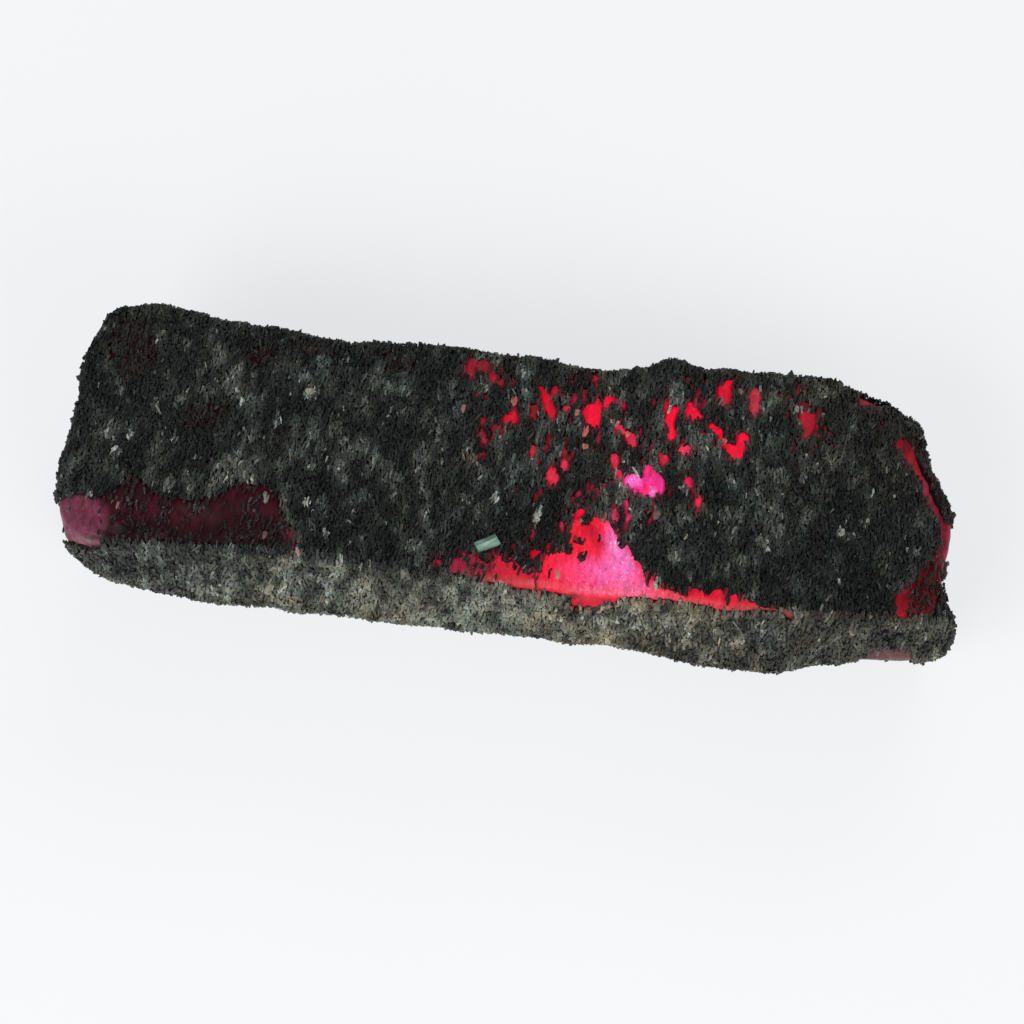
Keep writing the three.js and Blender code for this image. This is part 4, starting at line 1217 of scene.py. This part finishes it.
def grains_of(points, normals, scale, kinds, stand):
    """Grains of mixed shapes at these places. Returns corners, triangles and per-corner values."""
    clear, veiled = window_depth(points, normals)
    keep = keeps_grain(points, normals, clear, veiled)
    points, normals, clear, veil = points[keep], normals[keep], clear[keep], veiled[keep] > 0
    count = len(points)
    # painted red light on grains near clear windows, over veiled windows and along the pale line, set as
    # emission
    lit = glow_colours(points, normals)[:, 0] * np.exp(np.minimum(clear, 0) / 0.3)
    blush = np.where(clear > -0.8, 0.35 * lit * rng.random(count) ** 3, 0)
    blush = np.where(veil, np.where(points[:, 1] > THIN_VEIL_Y, 0.002, 0.004), blush)
    sizes = scale * np.stack([
        np.clip(rng.lognormal(math.log(mean), varies, count), least, most)
        for mean, varies, least, most in GRAIN_SIZES
    ], axis=1)
    tall = stand * rng.random(count) ** 2
    centres = points + normals * (tall - 0.05 - 0.12 * (scale - 1))[:, None]
    turn, tilt, roll = (
        rng.normal(math.radians(mean), math.radians(varies), count) for mean, varies in GRAIN_ANGLES
    )
    tone, side, tint, pale_line = grain_looks(points, normals, veil)
    looks = np.stack([tone, side, tint, np.maximum(blush, 0.009 * pale_line)], axis=1)
    kind = rng.choice(3, count, p=kinds)
    parts_v, parts_f, parts_a, start = [], [], [], 0
    for k, shape in enumerate((BLOCKS, BARRELS, FLAKES)):
        pick = kind == k
        if not pick.any():
            continue
        v, f, corners = place_grains(
            shape, centres[pick], normals[pick], sizes[pick], (tilt[pick], roll[pick]), turn[pick]
        )
        parts_v.append(v)
        parts_f.append(f + start)
        parts_a.append(np.repeat(looks[pick], corners, axis=0))
        start += len(v)
    return np.vstack(parts_v), np.vstack(parts_f), np.vstack(parts_a)


def make_grains(v, f, n):
    up = n[f].mean(axis=1)
    top = up[:, 2] > 0.45
    front = (up[:, 1] < -0.3) & ~top & (v[f][:, :, 2].mean(axis=1) > 4.5)
    places = {"top": top, "front": front, "rest": ~top & ~front}
    for name, (spacing, scale, kinds, stand) in GRAIN_GROUPS.items():
        points, normals = spread(v, f, n, places[name], spacing)
        cuts = [-99, -13, 13, 99] if name == "top" else [-99, 99]
        for i, (low, high) in enumerate(zip(cuts, cuts[1:])):
            part = (points[:, 0] >= low) & (points[:, 0] < high)
            gv, gf, ga = grains_of(points[part], normals[part], scale, kinds, stand)
            piece = f"mica_grains_{name}" + (f"_{i + 1}" if len(cuts) > 2 else "")
            values = dict(zip(("tone", "side", "tint", "blush"), ga.T))
            finish_piece(piece, on_ground(gv), gf, MICA, values)


def on_surface(v, f, n, places):
    """The points of the seen surface that lie at these places in plan, and the normals there."""
    front = seen(v, n)
    q = plan(v)
    q[~front] = 999
    found = [int(((q - place) ** 2).sum(axis=1).argmin()) for place in places]
    return v[found], n[found]


def make_big_grains(name, v, f, n, rows, material, attributes):
    """Grains at given places, as wide and long as given."""
    points, normals = on_surface(v, f, n, np.array([row[:2] for row in rows]))
    count = len(rows)
    sizes = np.array([(row[3], row[2] * 0.85, 0.6 * min(row[2], row[3])) for row in rows])
    lean = (rng.normal(0, 0.1, count), rng.normal(0, 0.25, count))
    turn = rng.normal(-0.07, 0.22, count)
    gv, gf, corners = place_grains(BARRELS, points + 0.06 * normals, normals, sizes, lean, turn)
    values = {key: np.repeat(np.array(value), corners, axis=0) for key, value in attributes.items()}
    finish_piece(name, on_ground(gv), gf, material, values)


def make_crags(v, f, n):
    """Dark broken grains that stand out of the outline."""
    rows = np.array(CRAGS)
    points, normals = on_surface(v, f, n, rows[:, :2])
    count = len(rows)
    sizes = np.stack([rows[:, 3], rows[:, 2], 0.7 * rows[:, 2]], axis=1)
    lean = (np.full(count, math.radians(62)), np.zeros(count))
    gv, gf, corners = place_grains(SPIKES, points, normals, sizes, lean, rng.normal(0, 0.3, count))
    flat = {"tone": 0.25, "side": 0.0, "tint": 0.5, "blush": 0.0}
    values = {key: np.full(len(gv), value) for key, value in flat.items()}
    finish_piece("crags", on_ground(gv), gf, MICA, values)


def make_green_grain():
    """A pale green six-sided prism with worn edges, where the CAD's plain one lies."""
    low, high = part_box("green_grain")
    bm = bmesh.new()
    bmesh.ops.create_cone(
        bm, cap_ends=True, segments=6, radius1=0.52 * MM, radius2=0.46 * MM, depth=1.95 * MM
    )
    bmesh.ops.bevel(bm, geom=bm.edges[:], offset=0.07 * MM, segments=1, affect="EDGES")
    bmesh.ops.triangulate(bm, faces=bm.faces)
    corners = np.array([vert.co[:] for vert in bm.verts]) / MM
    f = np.array([[vert.index for vert in face.verts] for face in bm.faces])
    bm.free()
    jitter = np.random.default_rng(5)
    x, y, z = (corners + [jitter.uniform(-0.07, 0.07, 3) for _ in corners]).T
    turn = math.radians(30)
    c, s = math.cos(turn), math.sin(turn)
    along, across = z, x * (1.1 + 0.12 * z)
    v = np.stack([along * c - across * s, along * s + across * c, 0.8 * y], axis=1)
    v += np.array((low + high) / 2) / MM
    prism = finish_piece("green_prism", v, f, GREEN)
    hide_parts("green_grain")


# The stage

FLOOR_GLOW = 0.70
FLOOR_HALF = 1.5
WORLD_LIGHT = 0.25


def make_floor():
    m = Nodes("floor")
    m.shade({
        "Base Color": m.ramp(m.noise(9, 3), [(0.3, (0.24, 0.24, 0.245)), (0.7, (0.26, 0.26, 0.262))]),
        "Roughness": 0.9,
        "Specular IOR Level": 0.1,
        "Emission Color": (0.97, 0.98, 1.0, 1),
        "Emission Strength": FLOOR_GLOW,
    })
    size = FLOOR_HALF
    corners = np.array([(-size, -size, 0), (size, -size, 0), (size, size, 0), (-size, size, 0)])
    mesh = new_mesh("floor", corners, np.array([(0, 1, 2), (0, 2, 3)]))
    mesh.materials.append(m.material)
    obj = new_object("floor", mesh)


def area_light(name, azimuth, elevation, distance, size, power):
    light = bpy.data.lights.new(name, "AREA")
    light.shape = "RECTANGLE"
    light.size, light.size_y = size
    light.energy = power
    back = Vector(direction(azimuth, elevation))
    obj = new_object(name, light)
    obj.location = back * distance
    obj.rotation_euler = back.to_track_quat("Z", "Y").to_euler()


def make_world():
    world = bpy.data.worlds.new("soft_studio")
    bpy.context.scene.world = world
    world.use_nodes = True
    background = world.node_tree.nodes["Background"]
    background.inputs["Color"].default_value = (0.95, 0.97, 1, 1)
    background.inputs["Strength"].default_value = WORLD_LIGHT


def make_camera():
    data = bpy.data.cameras.new("camera")
    data.lens = LENS
    data.sensor_width = 36
    data.clip_start = 0.01
    obj = new_object("camera", data)
    obj.location = Vector(SIGHT) * MM
    obj.rotation_euler = Vector(BACK).to_track_quat("Z", "Y").to_euler()
    bpy.context.scene.camera = obj


for old in list(bpy.data.objects):
    bpy.data.objects.remove(old)
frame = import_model()
MICA, RUBY, LIT, GREEN = mica_material(), ruby_material(), lit_material(), green_material()

make_camera()
surface = lumpy_surface()
make_crust(*surface)
make_ruby(*surface)
make_grains(*surface)
glassy = [row for row in PALE_GRAINS if row[4] > 0.91]
none = [0.0] * len(glassy)
make_big_grains("pale_grains", *surface, glassy, MICA, {
    "tone": [row[4] for row in glassy], "tint": [row[5] for row in glassy], "side": none, "blush": none,
})
make_big_grains("lit_grains", *surface, LIT_GRAINS, LIT, {"glow": [row[4] for row in LIT_GRAINS]})
make_crags(*surface)
make_green_grain()
make_floor()
make_world()
# Soft lights: azimuth, elevation, distance and size in metres, and watts
area_light("key", -35, 38, 0.7, (0.45, 0.3), 3.2)
area_light("fill", 40, 30, 0.7, (0.45, 0.3), 2.4)
area_light("rim", 170, 35, 0.8, (0.6, 0.3), 1.6)

bpy.context.scene.view_settings.view_transform = "Standard"
